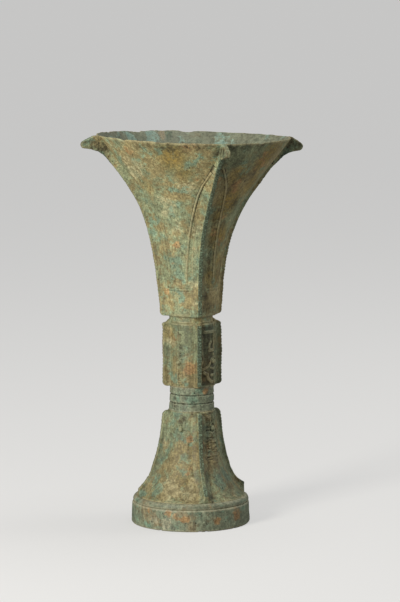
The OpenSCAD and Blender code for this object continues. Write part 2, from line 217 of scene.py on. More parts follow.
# Places where the photograph shows a mineral of its own, and where earth also paints shade: bearing from the
# front flange, level, size, strength
minerals = {
    "rust": [(-18, 122, 7, 1.0), (-16, 67, 4.5, 1.0), (25, 104, 4, 0.9), (-39, 217, 5, 1.0),
        (38, 218, 5, 0.8), (40, 285, 9, 0.5), (41, 277, 7, 0.5), (-60, 12, 6, 0.6), (-40, 13, 5, 0.7),
        (-22, 11, 6, 0.8), (10, 8, 6, 0.9), (34, 10, 8, 0.8), (-73, 180, 4, 0.9), (-8, 214, 4, 0.6),
        (-17, 296, 9, 0.6), (-62, 290, 7, 0.5), (35, 128, 5, 0.6), (20, 60, 4, 0.6), (6, 268, 5, 0.8),
        (-24, 44, 7, 0.5), (-70, 143, 6, 0.35), (14, 112, 4, 0.6), (-178, 295, 5, 1.0), (28, 262, 8, 0.9),
        (20, 226, 5, 0.7), (48, 280, 8, 0.5), (30, 240, 6, 0.6), (30, 10, 5, 0.7), (-31, 12, 5, 0.6)],
    "cream": [(-10, 230, 9, 0.9), (-12, 186, 6, 0.8), (-9, 172, 6, 0.7), (-42, 30, 13, 0.7),
        (-20, 28, 10, 0.8), (-69, 276, 15, 0.7), (-50, 245, 12, 0.6), (-41, 6, 6, 1.0), (-85, 148, 6, 0.6),
        (-55, 8, 7, 0.6), (-30, 232, 10, 0.5), (-12, 38, 8, 0.6), (-76, 62, 9, 0.6), (-20, 262, 10, 0.5),
        (46, 24, 7, 0.8), (58, 19, 6, 0.9), (30, 24, 6, 0.6), (66, 40, 6, 0.6), (-72, 141, 6, 0.9)],
    "green": [(-38, 192, 8, 0.8), (-18, 193, 6, 0.9), (-70, 115, 7, 0.8), (-18, 97, 7, 0.8),
        (-30, 258, 10, 0.5), (-60, 97, 6, 0.9), (-75, 60, 8, 0.8), (-40, 62, 7, 0.5), (60, 40, 9, 0.9),
        (-27, 12, 5, 0.6), (30, 33, 8, 0.9), (-24, 110, 5, 0.8), (50, 19, 10, 0.9), (-88, 20, 7, 0.8),
        (-30, 172, 6, 0.7), (-44, 205, 7, 0.7), (-74, 236, 9, 0.6), (-2, 285, 5, 0.9), (-80, 34, 8, 0.8),
        (-64, 4, 6, 0.8), (12, 18, 8, 0.8), (-50, 84, 6, 0.6), (-90, 297, 5, 0.9), (0, 297, 5, 1.0),
        (-170, 292, 9, 1.0), (143, 290, 10, 1.0), (-150, 292, 9, 0.9), (52, 32, 6, 0.7), (-32, 52, 9, 0.9),
        (-62, 30, 8, 0.9)],
    "ochre": [(-29, 286, 15, 1.0), (-22, 276, 10, 0.8), (-85, 148, 7, 0.7), (-10, 62, 5, 0.4),
        (30, 250, 16, 1.0), (45, 285, 16, 1.0), (-65, 262, 9, 0.4), (34, 222, 14, 1.0), (30, 192, 12, 0.8),
        (-26, 38, 9, 0.5), (24, 272, 12, 0.9), (52, 262, 12, 0.8), (22, 240, 9, 0.8), (40, 205, 9, 0.7)],
    # earth: dirt, with painted shade in the band under the lip, on the walls right of the front flange and on
    # the neck's right side
    "earth": [(-12, 295, 7, 0.8), (-20, 294, 7, 0.9), (-28, 295, 7, 0.9), (-36, 295, 7, 0.9),
        (-44, 296, 6, 0.7), (-52, 296, 6, 0.6), (-5, 296, 6, 0.8), (8, 296, 7, 0.8), (18, 296, 7, 0.8),
        (30, 296, 7, 0.7), (40, 297, 6, 0.6), (-38, 290, 6, 0.6), (125, 292, 12, 0.5), (104, 294, 9, 0.5),
        (170, 286, 6, 0.6), (42, 272, 8, 0.5), (24, 262, 9, 0.6), (16, 236, 6, 0.6), (22, 205, 7, 0.5),
        (12, 176, 5, 0.9), (20, 168, 6, 0.8), (-34, 83, 3, 0.9), (-41, 80, 2.6, 0.8), (-9, 86, 3, 0.9),
        (12, 146, 5, 0.9), (12, 138, 5, 0.9), (13, 129, 4, 0.7), (26, 121, 4, 0.6), (-68, 98, 3, 0.9),
        (-120, 294, 9, 0.4), (150, 293, 8, 0.5), (-66, 92, 3, 0.8), (14, 75, 5, 0.6), (22, 66, 4, 0.6),
        (12, 60, 4, 0.6), (9, 40, 5, 0.6), (6, 24, 5, 0.8), (-44, 137, 2, 0.7), (-44, 131, 2, 0.8),
        (-30, 99.8, 3, 0.8), (-8, 93.6, 3, 0.8), (-90, 291, 8, 0.9), (0, 290, 6, 1.0), (88, 292, 8, 0.7),
        (-140, 290, 9, 0.6), (-2, 294, 3, 0.6), (40, 248, 7, 0.6), (34, 232, 5, 0.5), (17, 283, 6, 0.6),
        (45, 30, 3, 0.6), (30, 46, 3, 0.6), (-28, 55, 12, 0.2), (-60, 32, 12, 0.18), (-12, 294, 4, 0.9),
        (-30, 293, 5, 0.9)],
}


def mineralMasks(co):  # co in mm, before the piece is brought to metres
    bearing = bearingOf(co)
    reach = np.clip(radiusOf(co), register["wellR"], None)
    masks = {}
    for kind, places in minerals.items():
        mask = np.zeros(len(co))
        for angle, level, size, strength in places:
            away = np.hypot(np.radians(turnBetween(bearing, angle)) * reach, co[:, 2] - level)
            mask = np.maximum(mask, strength * smoothStep(1.15, 0.25, away / size))
        masks[kind] = mask
    return masks


def addMask(mesh, name, values):
    layer = mesh.attributes.new(name, "FLOAT", "POINT")
    layer.data.foreach_set("value", np.ascontiguousarray(values, dtype=np.float32))


def asMesh(bm, name):
    mesh = bpy.data.meshes.new(name)
    bm.to_mesh(mesh)
    bm.free()
    return mesh


def asObject(name, data):
    thing = bpy.data.objects.new(name, data)
    scene.collection.objects.link(thing)
    return thing


# Every piece ends here: its masks are laid down, and it takes the place of its CAD nodes
# Where a flange joins its wall, little dirt or wear is let in: limits of bend, and how far up they reach
rootLimits = {"dirt": -0.06, "dirtTo": 0.72, "wear": 0.01, "wearTo": 0.3, "beakDeep": 12}
# lifted crests go into the worn, paler range: wear, and painted highlight where the crests are given for
# light
crestLift = 0.3


def finishPiece(bm, name, nodes, materialNames, passes=6, face=None, grooves=None, crests=None):
    bmesh.ops.recalc_face_normals(bm, faces=bm.faces)
    co = placesOf(bm.verts)
    places = foundShape(co)
    for v, c in zip(bm.verts, places):
        v.co = c
    bmesh.ops.scale(bm, verts=bm.verts, vec=(mm, mm, mm))
    mesh = asMesh(bm, name)
    mesh.shade_smooth()
    bend = curvature(mesh, passes)
    for kind, values in mineralMasks(places).items():
        addMask(mesh, kind, values)
    if face is not None:  # the outer face of a flange, darkened with painted shade over its dark patina, given by its wall, its reach and its strength
        wall, out, strength = face
        rise = riseOver(wall, radiusOf(co), co[:, 2]) / out
        beak = co[:, 2] > register["lipZ"] - rootLimits["beakDeep"]
        addMask(mesh, "outerFace", np.where(beak, 0, rise * strength))
        bend = np.where(rise < rootLimits["dirtTo"], np.maximum(bend, rootLimits["dirt"]), bend)
        bend = np.where((rise < rootLimits["wearTo"]) & ~beak, np.minimum(bend, rootLimits["wear"]), bend)
    # grooves give a mask of dirt and painted shadow
    if grooves is not None:
        addMask(mesh, "groove", grooves(co))
    if crests is not None:
        bend = bend + crestLift * crests(co)
    addMask(mesh, "bend", bend)
    piece = asObject(name, mesh)
    for m in materialNames:
        mesh.materials.append(patina[m])
    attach(piece, "root")
    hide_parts(*nodes)
    print("made", name, len(mesh.polygons), "faces")


# The patina: one group lays down the mineral layers, and each finish feeds it its own colours
def addNode(tree, kind, at=(0, 0), **values):
    node = tree.nodes.new(kind)
    node.location = at
    for key, value in values.items():
        setattr(node, key, value)
    return node


def setInputs(node, **values):
    for key, value in values.items():
        node.inputs[key.replace("_", " ")].default_value = value
    return node


def noiseOf(tree, vector, scale, detail, rough, offset, stretch=(1, 1, 1)):
    shift = addNode(tree, "ShaderNodeMapping")
    shift.inputs["Location"].default_value = offset
    shift.inputs["Scale"].default_value = stretch
    tree.links.new(vector, shift.inputs["Vector"])
    node = setInputs(addNode(tree, "ShaderNodeTexNoise"), Scale=scale, Detail=detail, Roughness=rough)
    tree.links.new(shift.outputs["Vector"], node.inputs["Vector"])
    return node.outputs["Fac"]


def rampOf(tree, value, low, high, outLow=0.0, outHigh=1.0):
    node = addNode(tree, "ShaderNodeMapRange", interpolation_type="SMOOTHSTEP")
    for key, number in (("From Min", low), ("From Max", high), ("To Min", outLow), ("To Max", outHigh)):
        node.inputs[key].default_value = number
    tree.links.new(value, node.inputs["Value"])
    return node.outputs["Result"]


def mathOf(tree, operation, a, b, clamp=False):
    node = addNode(tree, "ShaderNodeMath", operation=operation, use_clamp=clamp)
    for socket, value in zip(node.inputs, (a, b)):
        if isinstance(value, (int, float)):
            socket.default_value = value
        else:
            tree.links.new(value, socket)
    return node.outputs[0]


def mixOf(tree, mask, a, b, blend="MIX"):
    node = addNode(tree, "ShaderNodeMix", data_type="RGBA", blend_type=blend)
    node.clamp_factor = True
    for name, value in (("Factor_Float", mask), ("A_Color", a), ("B_Color", b)):
        socket = next(s for s in node.inputs if s.identifier == name)
        if isinstance(value, (tuple, float)):
            socket.default_value = value if isinstance(value, float) else (*value, 1.0)
        else:
            tree.links.new(value, socket)
    return next(s for s in node.outputs if s.identifier == "Result_Color")


def maskNamed(tree, name):
    return addNode(tree, "ShaderNodeAttribute", attribute_name=name).outputs["Fac"]


mineralColours = {
    "Tan": (0.292, 0.244, 0.116), "Grey Green": (0.228, 0.252, 0.142), "Malachite": (0.175, 0.258, 0.176),
    "Cream": (0.420, 0.370, 0.210), "Rust": (0.390, 0.235, 0.100), "Ochre": (0.255, 0.182, 0.052),
    "Earth": (0.036, 0.032, 0.018), "Dark Green": (0.062, 0.080, 0.050),
}
usualAmounts = {"Green Amount": 0.5, "Crust Amount": 0.5, "Dirt Amount": 0.5, "Rust Amount": 0.5,
                "Wear Amount": 0.5, "Face Shade Amount": 0.0}
finishes = {  # one for each slot of the record
    "tan_patina": {"Green Amount": 0.5, "Crust Amount": 0.6, "Dirt Amount": 0.9, "Rust Amount": 0.85},
    "grey_green_patina": {"Green Amount": 0.7, "Crust Amount": 0.6, "Dirt Amount": 0.95, "Rust Amount": 0.9,
                          "Grey Green": (0.222, 0.252, 0.166), "Tan": (0.285, 0.245, 0.140),
                          "Cream": (0.420, 0.385, 0.262)},
    "malachite_patina": {"Wear Amount": 0.35, "Green Amount": 0.56, "Crust Amount": 0.55, "Dirt Amount": 0.9,
                         "Rust Amount": 0.6, "Face Shade Amount": 0.9},
    "inner_patina": {"Green Amount": 0.85, "Crust Amount": 0.5, "Dirt Amount": 0.8, "Rust Amount": 0.45,
                     "Tan": (0.170, 0.160, 0.098), "Grey Green": (0.140, 0.170, 0.118),
                     "Cream": (0.26, 0.25, 0.17), "Malachite": (0.190, 0.340, 0.290)},
}


def patinaGroup():
    tree = bpy.data.node_groups.new("patinaLayers", "ShaderNodeTree")
    face = tree.interface
    face.new_socket("Vector", in_out="INPUT", socket_type="NodeSocketVector")
    for colour in mineralColours:
        face.new_socket(colour, in_out="INPUT", socket_type="NodeSocketColor")
    for amount, value in usualAmounts.items():
        face.new_socket(amount, in_out="INPUT", socket_type="NodeSocketFloat").default_value = value
    for name, kind in (("Color", "Color"), ("Roughness", "Float"), ("Height", "Float")):
        face.new_socket(name, in_out="OUTPUT", socket_type="NodeSocket" + kind)
    given = addNode(tree, "NodeGroupInput").outputs
    out = addNode(tree, "NodeGroupOutput").inputs
    where = given["Vector"]
    times, plus, minus, larger = (partial(mathOf, tree, kind)
                                  for kind in ("MULTIPLY", "ADD", "SUBTRACT", "MAXIMUM"))
    ramp, over, mask, noisy = (partial(way, tree) for way in (rampOf, mixOf, maskNamed, noiseOf))

    broad = noisy(where, 24, 3, 0.55, (0, 0, 0))
    blotch = noisy(where, 95, 4, 0.6, (3, 1, 7))
    mottle = noisy(where, 330, 3, 0.65, (5, 2, 1))
    fleck = noisy(where, 900, 2, 0.6, (1, 8, 3))
    streak = noisy(where, 60, 5, 0.7, (2, 4, 9))
    upright = noisy(where, 760, 2, 0.6, (6, 3, 4), (1, 1, 0.14))  # fine scratches run up and down

    level = addNode(tree, "ShaderNodeSeparateXYZ")
    tree.links.new(where, level.inputs[0])
    low = ramp(level.outputs["Z"], 0.165, 0.15)  # the registers under the neck are greener and darker
    bend = mask("bend")
    worn = ramp(bend, 0.02, 0.16)
    hollow = ramp(bend, -0.02, -0.15)

    # ground: tan earth over grey green, in drifts
    drift = plus(times(broad, 0.55), times(blotch, 0.45))
    greenEdge = minus(0.66, times(given["Green Amount"], 0.3))
    ragged = plus(times(minus(mottle, 0.5), 0.3), times(low, 0.02))
    overGreen = ramp(plus(minus(drift, greenEdge), ragged), -0.05, 0.05)
    colour = over(overGreen, given["Tan"], given["Grey Green"])
    ochre = times(mask("ochre"), ramp(mottle, 0.36, 0.6, 0.6, 1.0))
    colour = over(ochre, colour, given["Ochre"])

    # pale crust, malachite bloom and cuprous rust, each ragged at its edge
    crust = ramp(plus(times(streak, 0.7), times(mask("cream"), 0.22)), 0.43, 0.5)
    crust = times(crust, times(given["Crust Amount"], ramp(mottle, 0.38, 0.6, 0.25, 1.0)))
    crust = times(crust, ramp(ochre, 0.1, 0.8, 1.0, 0.45))
    colour = over(crust, colour, given["Cream"])
    bloomEdge = plus(blotch, times(mask("green"), 0.2))
    bloom = ramp(plus(bloomEdge, times(mottle, 0.4)), 0.77, 0.9)
    bloom = times(bloom, plus(given["Green Amount"], 0.25), True)
    colour = over(bloom, colour, given["Malachite"])
    rustEdge = plus(times(mask("rust"), 0.3), times(noisy(where, 150, 5, 0.7, (7, 7, 2)), 0.9))
    rust = times(ramp(rustEdge, 0.55, 0.72), given["Rust Amount"], True)
    colour = over(rust, colour, given["Rust"])

    # fine mottling and dark specks
    shade = ramp(mottle, 0.3, 0.7, 0.74, 1.27)
    shade = times(shade, ramp(fleck, 0.3, 0.7, 0.76, 1.26))
    shade = times(shade, ramp(streak, 0.32, 0.66, 0.78, 1.16))
    shade = times(shade, ramp(upright, 0.34, 0.66, 0.84, 1.15))
    shade = times(shade, minus(1.03, times(low, 0.25)))
    shaded = addNode(tree, "ShaderNodeCombineColor")
    for socket in shaded.inputs:
        tree.links.new(shade, socket)
    colour = over(1.0, colour, shaded.outputs[0], "MULTIPLY")
    cells = setInputs(addNode(tree, "ShaderNodeTexVoronoi"), Scale=420.0)
    tree.links.new(where, cells.inputs["Vector"])
    speck = times(ramp(cells.outputs["Distance"], 0.26, 0.1), ramp(blotch, 0.48, 0.6, 0.0, 0.75))
    colour = over(speck, colour, given["Earth"])

    # dirt in the hollows and cut lines, with painted shade from the earth patches and painted shadow in the
    # groove mask; paler worn edges, with painted highlight on lifted crests
    stainAndShade = times(mask("earth"), ramp(mottle, 0.35, 0.6, 0.95, 0.45))
    groove = times(mask("groove"), ramp(mottle, 0.35, 0.62, 0.95, 0.6))
    dirt = larger(times(hollow, given["Dirt Amount"]), larger(stainAndShade, groove))
    colour = over(dirt, colour, given["Earth"])
    edge = times(worn, times(given["Wear Amount"], ramp(mottle, 0.35, 0.6, 0.4, 1.0)))
    colour = over(edge, colour, given["Cream"])

    # the outer faces of the flanges: painted shade over a nearly black green patina, flecked with verdigris
    outer = plus(mask("outerFace"), times(mottle, 0.12))
    outer = times(ramp(outer, 0.88, 1.02), given["Face Shade Amount"])
    flecked = over(ramp(fleck, 0.5, 0.66), given["Dark Green"], given["Malachite"])
    tree.links.new(over(outer, colour, flecked), out["Color"])

    rough = plus(ramp(mottle, 0.3, 0.7, 0.5, 0.72), times(dirt, 0.2))
    tree.links.new(minus(rough, times(worn, 0.12), True), out["Roughness"])
    grain = plus(plus(times(fleck, 0.5), times(mottle, 0.7)), times(crust, 0.5))
    tree.links.new(minus(grain, times(speck, 0.7)), out["Height"])
    return tree


patinaLayers = patinaGroup()


def patinaMaterial(name, amounts):
    material = bpy.data.materials.new(name)
    material.use_nodes = True
    tree = material.node_tree
    shader = tree.nodes["Principled BSDF"]
    layers = addNode(tree, "ShaderNodeGroup", at=(-500, 0))
    layers.node_tree = patinaLayers
    where = addNode(tree, "ShaderNodeTexCoord", at=(-800, 0))
    tree.links.new(where.outputs["Object"], layers.inputs["Vector"])
    for key, value in {**mineralColours, **amounts}.items():
        layers.inputs[key].default_value = (*value, 1.0) if isinstance(value, tuple) else value
    bump = setInputs(addNode(tree, "ShaderNodeBump", at=(-250, -250)), Strength=0.55, Distance=0.00035)
    tree.links.new(layers.outputs["Height"], bump.inputs["Height"])
    tree.links.new(layers.outputs["Color"], shader.inputs["Base Color"])
    tree.links.new(layers.outputs["Roughness"], shader.inputs["Roughness"])
    tree.links.new(bump.outputs["Normal"], shader.inputs["Normal"])
    shader.inputs["Metallic"].default_value = 0.0
    shader.inputs["Specular IOR Level"].default_value = 0.3
    return material


patina = {name: patinaMaterial(name, amounts) for name, amounts in finishes.items()}
print("patina ready")


# Shaping tools
sectors = 16  # a sector is spun, and its turned copies close the round


def turnVerts(bm, verts, matrix):
    bmesh.ops.rotate(bm, verts=verts, cent=(0, 0, 0), matrix=matrix)


def freshVerts(grown):
    return [v for v in grown if isinstance(v, bmesh.types.BMVert)]


def joined(parts):  # several meshes as one
    bm = bmesh.new()
    for mesh in parts:
        bm.from_mesh(mesh)
        bpy.data.meshes.remove(mesh)
    return bm


def spinOutline(outline, steps):  # a closed outline of (r, z), turned once round the axis
    bm = bmesh.new()
    ring = [bm.verts.new((p[0], 0, p[1])) for p in outline]
    for a, b in zip(ring, ring[1:] + ring[:1]):
        bm.edges.new((a, b))
    bmesh.ops.spin(bm, geom=bm.verts[:] + bm.edges[:], cent=(0, 0, 0), axis=(0, 0, 1),
                   angle=math.tau / sectors, steps=steps // sectors)
    turned = []
    for _ in range(sectors):
        turnVerts(bm, bm.verts, Matrix.Rotation(math.tau / sectors, 3, "Z"))
        turned.append(bpy.data.meshes.new("sector"))
        bm.to_mesh(turned[-1])
    bm.free()
    bm = joined(turned)
    bmesh.ops.remove_doubles(bm, verts=bm.verts, dist=1e-3)
    bmesh.ops.recalc_face_normals(bm, faces=bm.faces)
    return bm


def plate(bm, outline, thick, bearing):  # a flat plate on one bearing, drawn with (r, z)
    face = bm.faces.new([bm.verts.new((p[0], -thick / 2, p[1])) for p in outline])
    far = freshVerts(bmesh.ops.extrude_face_region(bm, geom=[face])["geom"])
    bmesh.ops.translate(bm, verts=far, vec=(0, thick, 0))
    turnVerts(bm, far + list(face.verts), Matrix.Rotation(math.radians(bearing - 90), 3, "Z"))


def meltedTogether(bm, voxel, rounds):  # one skin over all the shells of a piece, its corners worn soft
    bmesh.ops.recalc_face_normals(bm, faces=bm.faces)
    mesh = asMesh(bm, "rough")
    rough = asObject("rough", mesh)
    skin = rough.modifiers.new("skin", "REMESH")
    skin.mode, skin.voxel_size, skin.adaptivity = "VOXEL", voxel, 0.0
    view = bpy.context.evaluated_depsgraph_get()
    whole = bpy.data.meshes.new_from_object(rough.evaluated_get(view))
    bpy.data.objects.remove(rough)
    bpy.data.meshes.remove(mesh)
    out = bmesh.new()
    out.from_mesh(whole)
    bpy.data.meshes.remove(whole)
    for _ in range(rounds):
        bmesh.ops.smooth_vert(out, verts=out.verts, factor=0.5,
                              use_axis_x=True, use_axis_y=True, use_axis_z=True)
    return out


def strokeDistance(px, py, stroke):  # distance from points to a stroke of straight runs
    best = np.full(len(px), 1e9)
    for (x0, y0), (x1, y1) in zip(stroke, stroke[1:]):
        dx, dy = x1 - x0, y1 - y0
        t = np.clip(((px - x0) * dx + (py - y0) * dy) / max(dx * dx + dy * dy, 1e-9), 0, 1)
        best = np.minimum(best, np.hypot(px - x0 - t * dx, py - y0 - t * dy))
    return best


def carve(px, py, strokes):  # each stroke: half width, height, soft edge, points
    height = np.zeros(len(px))
    for half, rise, soft, points in strokes:
        one = smoothStep(half + soft, half - soft * 0.2, strokeDistance(px, py, points)) * rise
        height = np.where(rise > 0, np.maximum(height, one), height + one)
    return height


def curl(x, y, size, turns, start, way=1):  # a squared thunder curl, wound outwards
    points = []
    for i in range(int(turns * 4) + 1):
        reach = size * (0.18 + 0.82 * i / (turns * 4))
        angle = math.radians(start + 45 + way * 90 * i)
        points.append((x + reach * math.cos(angle) * 1.2, y + reach * math.sin(angle) * 1.2))
    return points


def maskBearing(co):  # angle from the nearer of the front and back flanges, and the bearing itself
    bearing = bearingOf(co)
    return np.abs((bearing + 90) % 180 - 90), bearing


def lineInside(bm, limit):  # faces nearer the axis than the limit get the inner finish
    co = placesOf(bm.verts)
    inside = radiusOf(co) < limit(co)
    bm.verts.index_update()
    for f in bm.faces:
        f.material_index = int(all(inside[v.index] for v in f.verts))


def moveOutward(verts, heights):
    for v, h in zip(verts, heights):
        r = math.hypot(v.co.x, v.co.y)
        v.co.x *= 1 + h / r
        v.co.y *= 1 + h / r


def knocksAround(rng, count, widths, depths):  # bearing, half width in degrees, share of the depth
    return [(rng.uniform(-180, 180), rng.uniform(*widths), rng.uniform(*depths)) for _ in range(count)]


# Trumpet neck: wall from the overhanging lower edge to the lip, open right through
trumpet = {
    "lipWall": 3.0, "around": 400, "outerGap": 0.82, "innerGap": 5.0, "innerSteps": 220, "innerLimit": 0.9,
    "wallFrom": 162.2, "wallTo": 298.6,
    "lowEdge": ((16.5, 161.0), (18.6, 161.0), (19.5, 161.15), (19.95, 161.7)),
    "lip": ((75.75, 299.3), (75.9, 299.75), (75.5, 300.0), (74.9, 299.85), (74.2, 299.2)),
    "ringLines": (181.0, 183.2), "ringFrom": 179.5, "ringTo": 184.7, "ringGap": 0.3, "lineDepth": 0.42,
    "lineHalf": 0.45, "nickCount": 9, "nickDepth": 0.9, "nickFrom": 294.0, "uneven": 0.35, "lipSlope": 0.772,
    "moreNicks": ((-158, 4, 0.9), (-35, 3, 0.5), (168, 5, 0.8)),  # bearing, half width, share of the depth
    "skin": {**oldSkin, "seed": (11, 5, 2)},
}


def trumpetOutline(s):
    def gap(z):
        return s["ringGap"] if s["ringFrom"] < z < s["ringTo"] else s["outerGap"]
    thickLow = register["neckGuides"][0][0] - register["wellR"]
    outer = resample([p for p in neckWall if s["wallFrom"] < p[1] < s["wallTo"]], gap)
    inner = []
    for i in range(s["innerSteps"], 0, -1):
        k = i / wallSteps
        r, z = bezier(register["neckGuides"], k)
        inner.append((r - (s["lipWall"] + (thickLow - s["lipWall"]) * (1 - k) ** 3), z))
    inner = resample(inner, s["innerGap"])
    return [(register["wellR"], register["neckZ"]), *s["lowEdge"], *outer, *s["lip"], *inner]


def buildTrumpet(s):
    bm = spinOutline(trumpetOutline(s), s["around"])
    co = placesOf(bm.verts)
    onWall = radiusOf(co) > wallRadius(neckWall, co[:, 2]) - 0.3
    heights = np.zeros(len(co))
    for level in s["ringLines"]:
        heights -= s["lineDepth"] * np.exp(-((co[:, 2] - level) / s["lineHalf"]) ** 2)
    moveOutward(bm.verts, heights * onWall)
    rng = random.Random(7)
    nicks = knocksAround(rng, s["nickCount"], (1.5, 5), (0.25, 1))
    for v in bm.verts:  # the lip is nicked and uneven
        if v.co.z < s["nickFrom"]:
            continue
        bearing = bearingAt(v.co)
        drop = s["uneven"] * (0.5 + noise.noise(Vector((v.co.x, v.co.y, 3)) / 9))
        for angle, width, depth in (*nicks, *s["moreNicks"]):
            away = abs(turnBetween(bearing, angle)) / width
            drop += s["nickDepth"] * depth * smoothStep(1.0, 0.4, away)
        share = (v.co.z - s["nickFrom"]) / (register["lipZ"] - s["nickFrom"])
        slope = s["lipSlope"] * drop * share  # the lip wears down along the flare
        r = math.hypot(v.co.x, v.co.y)
        v.co.x *= 1 - slope / r
        v.co.y *= 1 - slope / r
        v.co.z -= drop * share
    corrode(bm, s["skin"])
    lineInside(bm, lambda co: wallRadius(neckWall, co[:, 2]) - s["innerLimit"])
    finishPiece(bm, "trumpet_neck", ["neck_shell"], ["tan_patina", "inner_patina"])


buildTrumpet(trumpet)

# Neck flanges: plates that follow the flare, toothed low down, each ending in a beak past the lip
neckFlange = {
    "out": 4.6, "bed": 1.3, "pitch": 2.4, "toothDepth": 1.0, "crest": 0.58, "teethTop": 225.0, "corner": 3.0,
    "filletWide": 5.0, "filletHigh": 3.7, "filletFade": (291, 262), "thin": 0.12, "voxel": 0.42, "rounds": 3,
    "nose": (87.7, 293.0), "noseDrop": {"right": 0.8}, "noseR": 3.0, "beakThick": 4.0,
    "crownTip": ((86.4, 297.0), (83.0, 298.6)), "crownRoot": ((79.8, 299.5), (77.0, 299.9), (74.6, 299.2)),
    "under": ((72.4, -4.4), (76.4, -2.1), (80.4, -0.9), (84.6, -0.2)),  # levels from the nose's lower side
    "reach": {"front": -0.9, "right": -2.2, "back": -0.5, "left": -1.0},
    "bearings": {"front": 0, "right": 90, "back": 180, "left": 270},
}
# strength of the painted shade on each flange's outer face
faceShade = {"front": 1.0, "right": 0.93, "back": 0.95, "left": 0.85}
toothVary = {"depth": (0.65, 1.1), "notch": 0.06, "crest": 0.08}


def wallOffset(wall, z, out):
    n = wallOutward(wall, z)
    return (wallRadius(wall, z) + n.x * out, z + n.y * out)


def toothedEdge(wall, out, low, high, s, rng):  # crests and notches, each a little different
    points = []
    z = high
    while z - s["pitch"] > low:
        depth = s["toothDepth"] * rng.uniform(*toothVary["depth"])
        wobble = rng.uniform(-toothVary["notch"], toothVary["notch"])
        crest = s["pitch"] * s["crest"]
        notch = (s["pitch"] - crest) / 2
        points += [wallOffset(wall, z, out), wallOffset(wall, z - crest, out - toothVary["crest"]),
                   wallOffset(wall, z - crest - notch, out - depth + wobble)]
        z -= s["pitch"]
    points.append(wallOffset(wall, z, out))
    return points[::-1]


def widenRoot(bm, wall, bearing, s):  # the flange spreads into the wall, and thins a little towards its edge
    upright = Matrix.Rotation(math.radians(90 - bearing), 3, "Z")
    turnVerts(bm, bm.verts, upright)
    x, y, z = placesOf(bm.verts).T
    r = wallRadius(wall, z)
    rise = riseOver(wall, x, z)
    near = 1 - np.clip(rise / s["filletHigh"], 0, 1)
    wide = np.clip(np.abs(y) / 1.8, 0, 1) * s["filletWide"] * near ** 3 * smoothStep(*s["filletFade"], z)
    thin = 1 - s["thin"] * smoothStep(1.5, 5, rise) * smoothStep(wall[-1, 1] + 0.5, wall[-1, 1] - 5, z)
    y = y * thin + np.sign(y) * wide
    x = x - (r - np.sqrt(np.maximum(r * r - y * y, 1))) * near
    for v, place in zip(bm.verts, np.stack((x, y, z), 1)):
        v.co = place
    turnVerts(bm, bm.verts, upright.transposed())


def bedLine(wall, low, high, bed, gap=3.0):
    count = max(2, int((high - low) / gap))
    levels = [low + (high - low) * i / count for i in range(count + 1)]
    return [(wallRadius(wall, z) - bed, z) for z in levels]


def arcOf(x, z, radius, angles):
    return [(x + radius * math.cos(math.radians(a)), z + radius * math.sin(math.radians(a))) for a in angles]


def finishFlange(bm, level, side, wall, s):
    finishPiece(bm, f"{level}_flange_{side}_cast", [f"{level}_flange_{side}"],
                ["malachite_patina"], passes=8, face=(wall, s["out"], faceShade[side]))


def buildNeckFlange(side, s):
    rng = random.Random(side)
    bearing = s["bearings"][side]
    low, top = register["neckZ"], register["lipZ"]
    tip = register["neckGuides"][0][0] + s["out"]
    extra = s["reach"][side]
    nose = (s["nose"][0] + extra, s["nose"][1] - s["noseDrop"].get(side, 0))
    beakLow = nose[1] - s["noseR"]
    plain = [wallOffset(neckWall, s["teethTop"] + (beakLow - 9 - s["teethTop"]) * i / 14, s["out"])
             for i in range(1, 15)]
    arc = arcOf(*nose, s["noseR"], range(-90, 51, 20))
    crown = [(x + extra, z) for x, z in s["crownTip"]] + list(s["crownRoot"])
    under = [(x, beakLow + z) for x, z in s["under"]]
    outline = [(register["wellR"] + 4.2, low + 0.05), (tip - 2.2, low + 0.05), (tip - 0.7, low + 0.9),
               (tip - 0.05, low + 2.2)]
    outline += toothedEdge(neckWall, s["out"], low + s["corner"], s["teethTop"], s, rng)
    outline += plain + under + arc + crown
    outline += bedLine(neckWall, low + 0.5, top - 1.2, s["bed"])[::-1]
    bm = bmesh.new()
    plate(bm, outline, register["flangeT"], bearing)
    beak = [(76.2, 299.4), (77.0, beakLow - 1.2)] + under[2:] + arc + crown[:3]
    plate(bm, beak, s["beakThick"], bearing)
    bm = meltedTogether(bm, s["voxel"], s["rounds"])
    widenRoot(bm, neckWall, bearing, s)
    corrode(bm, {**oldSkin, "seed": (bearing, 7, 3), "lump": 0.2, "pit": 0.35})
    finishFlange(bm, "neck", side, neckWall, s)


for side in neckFlange["bearings"]:
    buildNeckFlange(side, neckFlange)

# Leaf blades: a raised line with a cut line on either side, two to each flange
leafBlade = {
    "path": ((11.0, 188), (11.1, 198), (11.2, 209), (11.5, 224), (11.6, 238), (11.4, 250), (10.9, 258),
             (9.6, 265), (7.4, 271), (5.0, 277), (3.0, 282)),
    "spread": {(0, -1): -1.9, (0, 1): 2.0, (270, 1): 3.2},  # the leaves are not quite even, nor worn alike
    "worn": {(270, 1): 0.3, (90, -1): 0.6},
    "section": ((-1.85, -0.5), (-1.75, -0.05), (-1.4, 0.02), (-0.95, 0.02), (-0.62, 0.5), (0.0, 0.66),
                (0.62, 0.5), (0.95, 0.02), (1.4, 0.02), (1.75, -0.05), (1.85, -0.5)),
    "inner": ((6.9, 190), (7.2, 205), (7.6, 222), (8.2, 238), (8.6, 246)),
    "innerSection": ((-0.85, -0.5), (-0.8, -0.06), (-0.5, 0.02), (-0.25, 0.22), (0.0, 0.27), (0.25, 0.22),
                     (0.5, 0.02), (0.8, -0.06), (0.85, -0.5)),
    "step": 0.9, "skin": {**oldSkin, "seed": (11, 5, 2), "pit": 0.12, "grain": 0.05},
}


def rootRise(x, z, s):  # how far the root of a flange stands above the wall, x mm from the flange's middle
    wide = s["filletWide"] * smoothStep(*s["filletFade"], z)
    away = (abs(x) - register["flangeT"] / 2) / max(wide, 0.01)
    return s["filletHigh"] * (1 - min(1, max(0, away)) ** (1 / 3))


